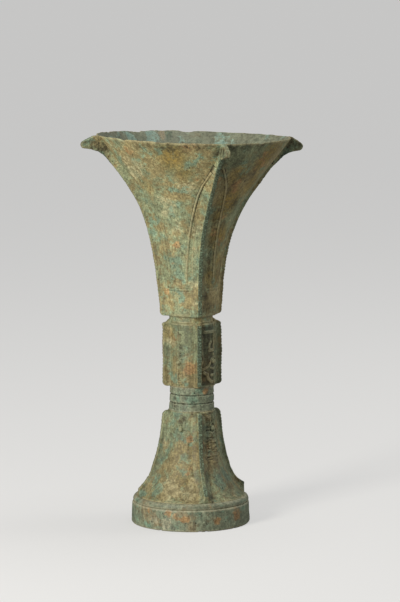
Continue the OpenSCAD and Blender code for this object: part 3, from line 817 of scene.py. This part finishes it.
def onWallPoint(wall, bearing, side, x, z, rise):  # x is measured level along the plate's face
    r = wallRadius(wall, z)
    n = wallOutward(wall, z)
    rise += rootRise(x, z, neckFlange)
    turn = math.radians(bearing) + math.asin(max(-1, min(1, side * x / r)))
    reach = r + n.x * rise
    return Vector((reach * math.sin(turn), -reach * math.cos(turn), z + n.y * rise))


def strip(wall, bearing, side, path, section, step):  # a moulding drawn along a wall, closed at its ends
    spots = resample(path, step)
    rows = []
    for i, p in enumerate(spots):
        ahead = (spots[min(i + 1, len(spots) - 1)] - spots[max(i - 1, 0)]).normalized()
        across = Vector((ahead.y, -ahead.x))
        fade = min(1.0, (i + 1) / 5, (len(spots) - i) / 5)
        row = []
        for w, h in section:
            q = p + across * w
            rise = h if h < 0 else h * fade - 0.04 * (1 - fade)
            row.append(onWallPoint(wall, bearing, side, q.x, q.y, rise))
        rows.append(row)
    bm = bmesh.new()
    ring = [bm.verts.new(c) for c in rows[0]]
    edges = [bm.edges.new((a, b)) for a, b in zip(ring, ring[1:] + ring[:1])]
    first = edges
    for row in rows[1:]:
        grown = bmesh.ops.extrude_edge_only(bm, edges=edges)["geom"]
        edges = [e for e in grown if isinstance(e, bmesh.types.BMEdge)]
        fresh = set(freshVerts(grown))
        ring = [next(e.other_vert(v) for e in v.link_edges if e.other_vert(v) in fresh) for v in ring]
        for v, place in zip(ring, row):
            v.co = place
    bmesh.ops.edgeloop_fill(bm, edges=first)
    bmesh.ops.edgeloop_fill(bm, edges=edges)
    return asMesh(bm, "strip")


def channelDirtAndShadow(co):  # dirt lies deepest along the upper left of the front leaf; down its right the cut line carries painted shadow beside the raised line as well as dirt
    bearing = bearingOf(co)
    front = np.abs(bearing) < 45
    return np.where(front, np.where(bearing > 0, 0.85, smoothStep(215, 250, co[:, 2])),
                    0.35 * smoothStep(262, 240, co[:, 2]))


def wornAndHighlit(co):  # the right edge of the front leaf is lightened: rubbed wear and a painted highlight on the raised line
    bearing = bearingOf(co)
    return np.where(np.abs(bearing) < 45, np.where(bearing > 0, 1.0, 0.35), 0.0)


def buildLeaves(s):
    strips = []
    for bearing, side in ((b, way) for b in neckFlange["bearings"].values() for way in (-1, 1)):
        for path, section in ((s["path"], s["section"]), (s["inner"], s["innerSection"])):
            spread = s["spread"].get((bearing, side), 0)
            moved = [(x + spread * smoothStep(0, 7, x), z) for x, z in path]
            worn = s["worn"].get((bearing, side), 1)
            section = [(w, h * worn if h > 0.03 else h) for w, h in section]
            strips.append(strip(neckWall, bearing, side, moved, section, s["step"]))
    bm = joined(strips)
    bmesh.ops.recalc_face_normals(bm, faces=bm.faces)
    co = placesOf(bm.verts)
    proud = radiusOf(co) - wallRadius(neckWall, co[:, 2])
    channels = smoothStep(0.3, 0.1, proud)
    for v, height in zip(bm.verts, corrodedHeight(co, s["skin"])):  # it lies on the neck's own lumps
        n = wallOutward(neckWall, v.co.z)
        out = Vector((v.co.x, v.co.y, 0)).normalized()
        v.co += (out * n.x + Vector((0, 0, n.y))) * height
    finishPiece(bm, "neck_leaf_blades", ["neck_leaf_edges"], ["tan_patina"], passes=3,
                grooves=lambda co: channels * channelDirtAndShadow(co),
                crests=lambda co: smoothStep(0.35, 0.6, proud) * wornAndHighlit(co))


buildLeaves(leafBlade)

# Waist ring between neck and knop
waist = {"around": 160, "gap": 0.5, "skin": {**oldSkin, "seed": (3, 9, 1)}}


def buildWaist(s):
    r, z0, z1 = register["waistR"], register["waistZ"], register["neckZ"]
    outer = resample([(r, z0), (r - 0.25, 0.5 * (z0 + z1)), (r + 0.05, z1)], s["gap"])
    bm = spinOutline([*outer, (register["wellR"], z1), (register["wellR"], z0)], s["around"])
    corrode(bm, s["skin"], keep=lambda co: (co[:, 2] > z0 + 0.2) & (co[:, 2] < z1 - 0.2))
    finishPiece(bm, "waist_recess", ["waist_ring"], ["tan_patina"])


buildWaist(waist)

# Knop: a drum whose four quarters carry two worn masks in flat relief
knop = {
    "around": 384, "gap": 0.36, "ground": -0.42, "boost": 1.55,
    "skin": {**oldSkin, "seed": (6, 2, 8), "lump": 0.12, "pit": 0.22},
    # strokes on one half mask: x from the mask's flange in mm round the drum, y from the knop's lower edge
    "strokes": [
        (1.25, 0.62, 0.45, ((16.3, 26.5), (16.3, 45.4))),
        (1.15, 0.62, 0.45, ((5.2, 45.6), (16.3, 45.6))),
        (1.1, 0.60, 0.45, ((10.6, 30.2), (16.0, 30.2))),
        (0.9, 0.50, 0.45, ((10.6, 30.2), (10.6, 35.4), (12.6, 37.2))),
        (0.9, 0.60, 0.45, ((3.9, 14.6), (9.6, 17.2), (14.2, 23.0), (18.6, 24.2), (21.6, 21.0))),
        (0.8, 0.45, 0.40, ((12.4, 15.8), (16.2, 14.4), (20.2, 15.6), (22.6, 18.6))),
        (1.2, 0.60, 0.45, ((5.4, 12.0), (8.2, 10.6), (9.6, 6.8), (13.2, 3.9), (19.6, 3.9))),
        (1.0, 0.50, 0.45, ((13.2, 9.4), (18.4, 9.4), (21.6, 12.2))),
        (1.1, 0.55, 0.45, ((24.4, 4.4), (24.4, 31.0), (21.2, 34.4), (21.2, 44.4), (25.0, 46.0))),
        (0.8, 0.40, 0.40, ((20.8, 26.6), (20.8, 30.4))),
        (0.9, 0.45, 0.45, ((3.4, 20.0), (3.4, 42.0))),
    ],
    "grooves": [
        (0.34, -0.5, 0.3, ((15.8, 0.8), (15.8, 14.0))), (0.3, -0.42, 0.3, ((3.6, 4.6), (3.6, 11.0))),
        (0.3, -0.4, 0.3, ((12.9, 33.2), (15.0, 36.0))), (0.3, -0.4, 0.3, ((12.6, 28.0), (16.6, 28.4))),
        (0.3, -0.4, 0.3, ((16.2, 38.6), (16.2, 47.0))), (0.3, -0.35, 0.3, ((13.2, 24.9), (13.0, 27.4))),
    ],
    "curls": [(7.2, 40.6, 2.1, 2.0, 0, 1), (7.2, 35.8, 1.8, 1.75, 90, -1), (6.8, 25.8, 2.3, 2.0, 0, 1),
              (13.2, 41.2, 1.6, 1.75, 90, 1), (19.0, 38.0, 1.2, 1.5, 0, 1), (22.6, 38.6, 1.0, 1.5, 0, -1),
              (7.0, 21.4, 1.7, 1.75, 180, 1), (17.9, 33.4, 1.2, 1.5, 0, -1), (21.6, 8.0, 1.3, 1.5, 0, 1),
              (4.2, 8.2, 1.1, 1.5, 0, 1)],
    # the last two: the ground's dirt, and the painted shadow of the front flange added in the front right
    # quarter
    "eye": (15.8, 20.8), "socket": 2.9, "squash": 0.93, "dirt": 0.25, "paintedShadowRight": 0.6,
    "rubbed": 0.85, "keptLine": 15.2, "keptHalf": 2.2,  # the front left quarter is worn smooth but for a line
}


def reliefHeight(x, y, s):
    height = np.full(len(x), s["ground"]) + carve(x, y, s["strokes"])
    for cx, cy, size, turns, start, way in s["curls"]:
        height += carve(x, y, [(0.2, -0.22, 0.26, curl(cx, cy, size, turns, start, way))])
    grooves = np.zeros(len(x))
    for half, rise, soft, points in s["grooves"]:
        cut = smoothStep(half + soft, half * 0.4, strokeDistance(x, y, points)) * rise
        grooves = np.minimum(grooves, cut)
    socket = np.hypot(x - s["eye"][0], y - s["eye"][1])
    ring = -0.5 * np.exp(-((socket - s["socket"]) / 0.55) ** 2)
    return (height + grooves + ring) * s["boost"]


def groundDirtAndShadow(co, drum, y, s):  # dirt on the sunk ground, made thickest in the front right quarter by painted shadow of the front flange, and wear with a painted highlight on the raised lines there
    angle, bearing = maskBearing(co)
    ground = smoothStep(-0.05, -0.45, reliefHeight(np.radians(angle) * drum, y / s["squash"], s) / s["boost"])
    right = smoothStep(2, 8, bearing) * smoothStep(62, 50, bearing)
    left = smoothStep(-86, -76, bearing) * smoothStep(-2, -8, bearing)
    inside = (radiusOf(co) > drum - 2.5) * smoothStep(0.5, 2, y) * smoothStep(48, 46, y)
    amount = np.clip(s["dirt"] + s["paintedShadowRight"] * right - s["dirt"] * left, 0, 1)
    return ground * inside * amount, right * (1 - ground)


def buildKnop(s):
    r, z0, z1 = register["knopR"], register["knopZ"], register["waistZ"]
    outer = resample([(r, z0 + 0.7), (r, z1 - 1.5)], s["gap"])
    shoulder = [(r - 0.12, z1 - 1.1), (r - 0.5, z1 - 0.6), (register["waistR"] - 0.1, z1)]
    outline = [(register["wellR"], z0), (r - 1.8, z0), (r - 0.6, z0 + 0.02), (r - 0.15, z0 + 0.25)]
    outline += [*outer, *shoulder, (register["wellR"], z1)]
    bm = spinOutline(outline, s["around"])
    walls = [v for v in bm.verts if math.hypot(v.co.x, v.co.y) > r - 0.7]
    co = placesOf(walls)
    angle, bearing = maskBearing(co)
    x, y = np.radians(angle) * r, co[:, 2] - z0
    height = reliefHeight(x, y / s["squash"], s)
    border = smoothStep(0.2, 1.0, y) * smoothStep(48.6, 47.4, y)
    worn = np.array([0.72 + 0.5 * noise.noise(c) for c in co / 13 + 2])
    rubbed = smoothStep(-82, -70, bearing) * smoothStep(-4, -10, bearing)
    rubbed = rubbed * (1 - 0.9 * np.exp(-((x - s["keptLine"]) / s["keptHalf"]) ** 2))
    worn = np.clip(worn, 0.35, 1.0) * (1 - s["rubbed"] * rubbed)
    moveOutward(walls, np.where(border < 1, height * border, height) * worn + 0.05)
    corrode(bm, s["skin"], keep=lambda co: (co[:, 2] > z0 + 0.1) & (co[:, 2] < z1 - 0.1))
    # the ground takes dirt and painted shadow, and the raised lines of the front right quarter a painted
    # highlight
    finishPiece(bm, "knop_drum", ["knop_shell", "knop_mask_relief"], ["tan_patina"], passes=5,
                grooves=lambda co: groundDirtAndShadow(co, r, co[:, 2] - z0, s)[0],
                crests=lambda co: groundDirtAndShadow(co, r, co[:, 2] - z0, s)[1] * 0.3)


buildKnop(knop)


# Eye bosses of the masks: a dome with a shallow pupil
eyes = {"radius": 2.05, "flat": 0.86, "pupil": 0.5, "pupilDepth": 0.28}


def buildEyes(name, node, wall, fixedRadius, angle, level, s):
    bm = bmesh.new()
    for middle in (0, 180):
        for side in (-1, 1):
            turn = math.radians(middle + side * angle)
            r = fixedRadius if wall is None else wallRadius(wall, level)
            n = Vector((1, 0)) if wall is None else wallOutward(wall, level)
            out = Vector((math.sin(turn) * n.x, -math.cos(turn) * n.x, n.y))
            grown = bmesh.ops.create_uvsphere(bm, u_segments=40, v_segments=28, radius=s["radius"])["verts"]
            for v in grown:  # the pole looks outwards
                if v.co.z > 0:
                    away = math.hypot(v.co.x, v.co.y)
                    v.co.z -= s["pupilDepth"] * math.exp(-(away / s["pupil"]) ** 2)
                v.co.z *= s["flat"]
            turnVerts(bm, grown, out.to_track_quat("Z", "Y").to_matrix())
            seat = Vector((math.sin(turn) * r, -math.cos(turn) * r, level)) - out * 0.25
            bmesh.ops.translate(bm, verts=grown, vec=seat)
    corrode(bm, {**oldSkin, "seed": (4, 4, 9), "lump": 0.1, "grain": 0.05, "pit": 0.15})
    # the domes are lightened all over: wear and a painted highlight
    finishPiece(bm, name, [node], ["malachite_patina"], passes=3,
                crests=lambda co: np.full(len(co), 0.4))


buildEyes("knop_eye_bosses", "knop_eyes", None, register["knopR"], 50.5, register["knopZ"] + 19.3, eyes)
buildEyes("foot_eye_bosses", "foot_eyes", footWall, None, 41, register["collarZ"] - 13, eyes)

# Knop flanges: toothed from end to end, rounded below and sloped on to the waist above
knopFlange = {"out": 5.4, "bed": 1.3, "pitch": 2.4, "toothDepth": 1.0, "crest": 0.58, "corner": 3.0,
              "filletWide": 1.7, "filletHigh": 3.2, "filletFade": (161, 156), "thin": 0.1, "voxel": 0.36,
              "rounds": 3}
drumWall = np.array([(register["knopR"], z) for z in (register["knopZ"] - 5.0, register["waistZ"] + 14.0)])


def buildKnopFlange(side, s):
    rng = random.Random(side + "knop")
    bearing = neckFlange["bearings"][side]
    r, z0, z1 = register["knopR"], register["knopZ"], register["waistZ"]
    tip = r + s["out"]
    corner = arcOf(tip - s["corner"], z0 + s["corner"], s["corner"], (-90, -65, -40, -15))
    teeth = toothedEdge(drumWall, s["out"], z0 + s["corner"], z1 - 1.9, s, rng)
    top = [(tip - 0.5, z1 - 1.0), (tip - 1.4, z1 - 0.45), (r + 1.2, z1 + 0.5),
           (register["waistR"] + 0.4, z1 + 2.2)]
    outline = [(r - s["bed"], z0 + 0.05)] + corner + teeth + top
    outline += [(register["waistR"] - s["bed"], z1 + 2.4), (r - s["bed"] - 1.2, z1 - 3)]
    bm = bmesh.new()
    plate(bm, outline, register["flangeT"], bearing)
    bm = meltedTogether(bm, s["voxel"], s["rounds"])
    widenRoot(bm, drumWall, bearing, s)
    corrode(bm, {**oldSkin, "seed": (bearing, 1, 6), "lump": 0.16, "pit": 0.3})
    finishFlange(bm, "knop", side, drumWall, s)


for side in neckFlange["bearings"]:
    buildKnopFlange(side, knopFlange)

# Floor of the cup, at the foot of the knop
cupFloor = {"thick": 3.0, "dish": 0.5, "around": 96, "rings": 9, "gap": 1.35,
            "skin": {**oldSkin, "seed": (1, 1, 5)}}


def buildCupFloor(s):
    bm = bmesh.new()
    bmesh.ops.create_circle(bm, cap_ends=True, segments=s["around"], radius=register["wellR"])
    bmesh.ops.translate(bm, verts=bm.verts, vec=(0, 0, register["knopZ"]))
    grown = bmesh.ops.extrude_face_region(bm, geom=bm.faces[:])["geom"]
    bmesh.ops.translate(bm, verts=freshVerts(grown), vec=(0, 0, s["thick"]))
    for _ in range(s["rings"]):
        flat = [f for f in bm.faces if abs(f.normal.z) > 0.9 and len(f.verts) == s["around"]]
        bmesh.ops.inset_region(bm, faces=flat, thickness=s["gap"], use_even_offset=True)
    for v in bm.verts:
        away = math.hypot(v.co.x, v.co.y) / register["wellR"]
        if v.co.z > register["knopZ"] + 1:
            v.co.z -= s["dish"] * (1 - away * away)
    corrode(bm, s["skin"], keep=lambda co: radiusOf(co) < register["wellR"] - 0.5)
    finishPiece(bm, "cup_floor_cast", ["cup_floor"], ["inner_patina"])


buildCupFloor(cupFloor)

# String collar, with two cut lines
collar = {"around": 304, "gap": 0.42, "lines": (93.8, 100.2), "depth": 0.62, "half": 0.5,
          "skin": {**oldSkin, "seed": (8, 3, 3), "pit": 0.45, "crust": 0.2},
          "scars": ((-69, 98.2, 1.1, 0.8), (-66, 93.5, 1.0, 0.7), (-68, 90.5, 1.2, 0.8),
                    (-40, 93.6, 0.9, 0.6), (28, 100.3, 1.6, 0.5), (118, 97, 1.2, 0.7), (-150, 92, 1.3, 0.7))}


def buildCollar(s):
    z0, z1 = register["collarZ"], register["knopZ"]
    low, high = register["collarLowR"], register["collarTopR"]
    outer = resample([(low, z0), (high, z1)], s["gap"])
    inner = high - register["collarWall"]
    bm = spinOutline([*outer, (inner, z1), (inner, z0)], s["around"])
    walls = [v for v in bm.verts if math.hypot(v.co.x, v.co.y) > inner + 1]
    heights = []
    for v in walls:
        h = -sum(s["depth"] * math.exp(-((v.co.z - line) / s["half"]) ** 2) for line in s["lines"])
        bearing = bearingAt(v.co)
        for angle, level, size, depth in s["scars"]:  # corrosion scars
            away = math.hypot(math.radians(turnBetween(bearing, angle)) * low, v.co.z - level) / size
            h -= depth * math.exp(-away ** 2)
        heights.append(h)
    moveOutward(walls, heights)
    corrode(bm, s["skin"], keep=lambda co: (co[:, 2] > z0 + 0.2) & (co[:, 2] < z1 - 0.2))
    finishPiece(bm, "string_collar_cast", ["string_collar"], ["grey_green_patina"])


buildCollar(collar)

# Flared foot, hollow, with the second pair of masks on its upper part
foot = {
    "around": 384, "gap": 0.45, "innerGap": 4.0, "ground": -0.1, "boost": 1.35,
    "skin": {**oldSkin, "seed": (2, 6, 6), "lump": 0.2},
    # x in mm round a drum of 20 mm radius, y down from the collar
    "strokes": [
        (0.9, 0.5, 0.45, ((4.6, 3.0), (11.8, 3.0))), (0.95, 0.5, 0.45, ((11.8, 3.0), (11.8, 8.6))),
        (0.95, 0.5, 0.45, ((17.0, 3.4), (17.0, 9.8), (20.4, 12.4), (20.4, 20.0))),
        (0.9, 0.5, 0.45, ((4.2, 16.4), (9.6, 16.8), (12.0, 14.6))),
        (0.9, 0.5, 0.45, ((4.6, 19.6), (9.0, 19.6), (9.0, 27.4), (4.6, 27.4))),
        (0.85, 0.5, 0.45, ((12.2, 21.4), (17.6, 21.4), (17.6, 27.6), (12.2, 27.6), (12.2, 24.4),
                           (15.2, 24.4))),
        (0.8, 0.45, 0.45, ((20.6, 24.0), (24.4, 24.0), (24.4, 5.0), (22.0, 3.0))),
        (0.7, 0.35, 0.45, ((5.0, 31.4), (17.4, 31.4))), (0.7, 0.3, 0.45, ((19.0, 30.0), (24.0, 30.0))),
    ],
    "grooves": [(0.32, -0.5, 0.3, ((14.2, 0.8), (14.2, 9.4))), (0.3, -0.35, 0.3, ((4.2, 12.6), (9.6, 12.6)))],
    "curls": [(7.4, 6.8, 1.7, 1.75, 0, 1), (7.0, 11.0, 1.3, 1.5, 90, -1), (6.6, 23.4, 1.3, 1.5, 0, 1),
              (22.2, 9.0, 1.1, 1.5, 0, 1), (22.4, 16.4, 1.1, 1.5, 0, -1), (8.8, 33.6, 1.2, 1.5, 0, 1),
              (14.8, 33.6, 1.2, 1.5, 0, -1)],
    "eye": (14.3, 11.0), "socket": 2.9, "drum": 20.0, "sink": 2.0, "scratch": 0.5, "rubbed": 0.5,
}


def buildFoot(s):
    z0, z1 = register["footZ"], register["collarZ"]
    outer = resample(footWall, s["gap"])
    inner = resample([(r - register["footWall"], z) for r, z in footWall[::-1]], s["innerGap"])
    top = [(outer[-1].x - 0.15, z1 - 0.1), (register["footGuides"][3][0] - 0.4, z1)]
    tail = (register["footGuides"][0][0] - register["footWall"], z0)
    bm = spinOutline([*outer[:-1], *top, *inner[:-1], tail], s["around"])
    walls = [v for v in bm.verts if math.hypot(v.co.x, v.co.y) > wallRadius(footWall, v.co.z) - 0.8]
    co = placesOf(walls)
    angle, bearing = maskBearing(co)
    x, y = np.radians(angle) * s["drum"], z1 - co[:, 2] - s["sink"]
    fade = smoothStep(38, 30, y) * smoothStep(0.2, 1.2, y + s["sink"])
    worn = np.clip(np.array([0.75 + 0.6 * noise.noise(c) for c in co / 12 + 5]), 0.25, 1.0)
    worn *= 1 - s["rubbed"] * smoothStep(-85, -75, bearing) * smoothStep(-4, -10, bearing)
    scratch = np.array([noise.noise((b / 14, z / 1.1, 3)) for b, z in zip(bearing, co[:, 2])])  # level ones
    scratch = smoothStep(0.12, 0.4, scratch) * smoothStep(3, 9, bearing) * smoothStep(50, 36, bearing)
    scratch *= smoothStep(42, 52, co[:, 2])
    moveOutward(walls, reliefHeight(x, y, s) * fade * worn - s["scratch"] * scratch)
    corrode(bm, s["skin"], keep=lambda co: (co[:, 2] > z0 + 0.1) & (co[:, 2] < z1 - 0.05))
    lineInside(bm, lambda co: wallRadius(footWall, co[:, 2]) - 2)
    finishPiece(bm, "foot_flare", ["foot_shell", "foot_mask_relief"],
                ["tan_patina", "inner_patina"], passes=5)


buildFoot(foot)

# Foot flanges: they stand on the bead and die out against the collar
footFlange = {"out": 5.0, "bed": 1.3, "pitch": 2.4, "toothDepth": 0.85, "crest": 0.6, "teethLow": 57.5,
              "corner": 3.0, "filletWide": 4.4, "filletHigh": 4.0, "filletFade": (88, 82.5), "thin": 0.1,
              "voxel": 0.4, "rounds": 3, "toe": {"right": 1.5}}


def buildFootFlange(side, s):
    rng = random.Random(side + "foot")
    bearing = neckFlange["bearings"][side]
    z0, z1 = register["footZ"], register["collarZ"]
    extra = s["toe"].get(side, 0)
    toe = wallOffset(footWall, z0 + s["corner"], s["out"] + extra)
    plain = [wallOffset(footWall, z0 + s["corner"] + (s["teethLow"] - z0 - s["corner"]) * i / 14,
                        s["out"] - 0.9 * math.sin(math.pi * min(1, i / 9)) + extra * max(0, 1 - i / 3) ** 2)
             for i in range(15)]
    teeth = toothedEdge(footWall, s["out"], s["teethLow"], z1 - s["corner"], s, rng)
    tip = register["footGuides"][3][0] + s["out"]
    top = arcOf(tip - s["corner"], z1 - s["corner"], s["corner"], (25, 50, 75, 90))
    outline = [(register["footGuides"][0][0] - 2.2, z0 + 0.05), (toe[0] - 0.3, z0 + 0.05), (toe[0], z0 + 1.0)]
    outline += plain + teeth + top + [(register["collarTopR"] - 0.6, z1)]
    outline += bedLine(footWall, z0 + 0.6, z1 - 0.5, s["bed"])[::-1]
    bm = bmesh.new()
    plate(bm, outline, register["flangeT"], bearing)
    bm = meltedTogether(bm, s["voxel"], s["rounds"])
    widenRoot(bm, footWall, bearing, s)
    corrode(bm, {**oldSkin, "seed": (bearing, 3, 1), "lump": 0.2, "pit": 0.32},
            keep=lambda co: co[:, 2] > z0 + 0.25)
    finishFlange(bm, "foot", side, footWall, s)


for side in neckFlange["bearings"]:
    buildFootFlange(side, footFlange)

# Bead: the ledge that caps the standing ring
bead = {"around": 384, "gap": 0.5, "drawn": 0.9, "skin": {**oldSkin, "seed": (9, 9, 4), "lump": 0.22}}


def buildBead(s):
    z0, z1, r = register["beadZ"], register["footZ"], register["beadR"] - s["drawn"]
    inner = register["footGuides"][0][0] - register["footWall"]
    outer = [(r - 0.6, z0), (r - 0.25, z0 + 0.45), (r, z0 + 1.2), (r - 0.02, z1 - 2.2),
             (r - 0.35, z1 - 1.1), (r - 1.1, z1 - 0.35), (r - 2.3, z1)]
    bm = spinOutline([*resample(outer, s["gap"]), (inner, z1), (inner, z0)], s["around"])
    corrode(bm, s["skin"], keep=lambda co: (radiusOf(co) > inner + 1) & (co[:, 2] > z0 + 0.1))
    finishPiece(bm, "foot_bead_cast", ["foot_bead"], ["grey_green_patina"])


buildBead(bead)

# Standing ring, plain, with knocks along its lower edge
ring = {"around": 416, "gap": 0.55, "skin": {**oldSkin, "seed": (5, 1, 7), "lump": 0.24, "pit": 0.4},
        "knocks": 11, "knockDepth": 0.7, "knockHigh": 2.2}


def buildRing(s):
    r, top, z1 = register["ringR"], register["ringTopR"], register["beadZ"]
    inner = r - register["ringWall"]
    outer = [(r - 1.0, 0.0), (r - 0.35, 0.18), (r - 0.02, 0.8), (top + 0.25, z1 - 0.9), (top - 0.1, z1 - 0.2),
             (top - 0.5, z1)]
    inside = [(inner, z1), (inner, 8.0), (inner, 0.5), (inner + 0.5, 0)]
    bm = spinOutline([*resample(outer, s["gap"]), *inside], s["around"])
    rng = random.Random(21)
    knocks = knocksAround(rng, s["knocks"], (1.5, 4.5), (0.3, 1))
    for v in bm.verts:
        if v.co.z < s["knockHigh"] and math.hypot(v.co.x, v.co.y) > r - 2:
            bearing = bearingAt(v.co)
            for angle, width, depth in knocks:
                away = abs(turnBetween(bearing, angle)) / width
                share = (s["knockHigh"] - v.co.z) / s["knockHigh"]
                v.co.z += s["knockDepth"] * depth * smoothStep(1, 0.3, away) * share
    corrode(bm, s["skin"], keep=lambda co: np.clip((co[:, 2] - 0.1) / 1.2, 0, 1) * (co[:, 2] < z1 - 0.1))
    lineInside(bm, lambda co: inner + 0.4)
    finishPiece(bm, "standing_ring", ["foot_ring"],
                ["grey_green_patina", "inner_patina"])


buildRing(ring)
print("vessel assembled")


# Plain pale floor, soft studio light, and the photograph's camera
studio = {"floorSize": 60.0, "floor": (0.3, 0.297, 0.29), "floorGlow": 0.5, "worldLight": 0.23,
          "background": 0.56, "aimHeight": 0.17}


def seenByCamera(tree, plain, shown, output):  # the camera sees the second shader, and light meets the first
    path = addNode(tree, "ShaderNodeLightPath")
    pick = addNode(tree, "ShaderNodeMixShader")
    out = addNode(tree, output)
    tree.links.new(path.outputs["Is Camera Ray"], pick.inputs["Fac"])
    tree.links.new(plain.outputs[0], pick.inputs[1])
    tree.links.new(shown.outputs[0], pick.inputs[2])
    tree.links.new(pick.outputs[0], out.inputs["Surface"])


def buildFloor(s):
    bm = bmesh.new()
    bmesh.ops.create_grid(bm, x_segments=2, y_segments=2, size=s["floorSize"])
    floor = asObject("floor", asMesh(bm, "floor"))
    material = bpy.data.materials.new("floorPaper")
    material.use_nodes = True
    tree = material.node_tree
    tree.nodes.clear()
    paper = addNode(tree, "ShaderNodeBsdfDiffuse")
    paper.inputs["Color"].default_value = (*s["floor"], 1)
    glow = setInputs(addNode(tree, "ShaderNodeEmission"), Strength=s["floorGlow"])  # pale to the camera alone
    glow.inputs["Color"].default_value = (1.0, 0.995, 0.985, 1)
    both = addNode(tree, "ShaderNodeAddShader")
    tree.links.new(paper.outputs[0], both.inputs[0])
    tree.links.new(glow.outputs[0], both.inputs[1])
    seenByCamera(tree, paper, both, "ShaderNodeOutputMaterial")
    floor.data.materials.append(material)


def buildWorld(s):
    world = bpy.data.worlds.new("studioWorld")
    scene.world = world
    world.use_nodes = True
    tree = world.node_tree
    tree.nodes.clear()
    light = setInputs(addNode(tree, "ShaderNodeBackground"), Strength=s["worldLight"])
    light.inputs["Color"].default_value = (0.97, 0.985, 1.0, 1)
    shown = setInputs(addNode(tree, "ShaderNodeBackground"), Strength=1.0)
    shown.inputs["Color"].default_value = (s["background"], s["background"], s["background"] * 0.985, 1)
    seenByCamera(tree, light, shown, "ShaderNodeOutputWorld")


def placeFrom(bearing, distance, height):
    turn = math.radians(bearing)
    return Vector((distance * math.sin(turn), -distance * math.cos(turn), height))


def softBox(name, bearing, distance, height, size, power, colour):
    lamp = bpy.data.lights.new(name, "AREA")
    lamp.shape, lamp.size, lamp.size_y = "RECTANGLE", size[0], size[1]
    lamp.energy, lamp.color = power, colour
    place = placeFrom(bearing, distance, height)
    aim = Vector((0, 0, studio["aimHeight"])) - place
    look = aim.to_track_quat("-Z", "Y").to_matrix().to_4x4()
    asObject(name, lamp).matrix_world = Matrix.Translation(place) @ look


lamps = {  # bearing in degrees from the front flange, distance, height, size, power, colour
    "key": (-54, 1.5, 0.62, (0.45, 0.6), 26.5, (1.0, 0.97, 0.91)),
    "fill": (84, 1.9, 0.8, (0.9, 0.9), 9.6, (1.0, 0.975, 0.9)),
    "top": (100, 0.4, 1.7, (0.9, 0.9), 7, (1.0, 1.0, 1.0)),
}

buildFloor(studio)
buildWorld(studio)
for name, lampFacts in lamps.items():
    softBox(name, *lampFacts)

shot = {"distance": 2.135, "height": 0.4355, "bearing": -16.5, "focal": 2805.0, "frameWidth": 400.0,
        "pitch": 7.056, "yaw": 0.194}


def buildCamera(s):
    camera = bpy.data.cameras.new("photographView")
    camera.sensor_fit, camera.sensor_width = "HORIZONTAL", 36.0
    camera.lens = s["focal"] / s["frameWidth"] * camera.sensor_width
    camera.clip_end = 60
    place = placeFrom(s["bearing"], s["distance"], s["height"])
    look = Matrix.Rotation(math.radians(s["bearing"] - s["yaw"]), 4, "Z")
    tip = Matrix.Rotation(math.radians(90 - s["pitch"]), 4, "X")
    scene.camera = asObject("photographView", camera)
    scene.camera.matrix_world = Matrix.Translation(place) @ look @ tip


buildCamera(shot)
print("studio ready")
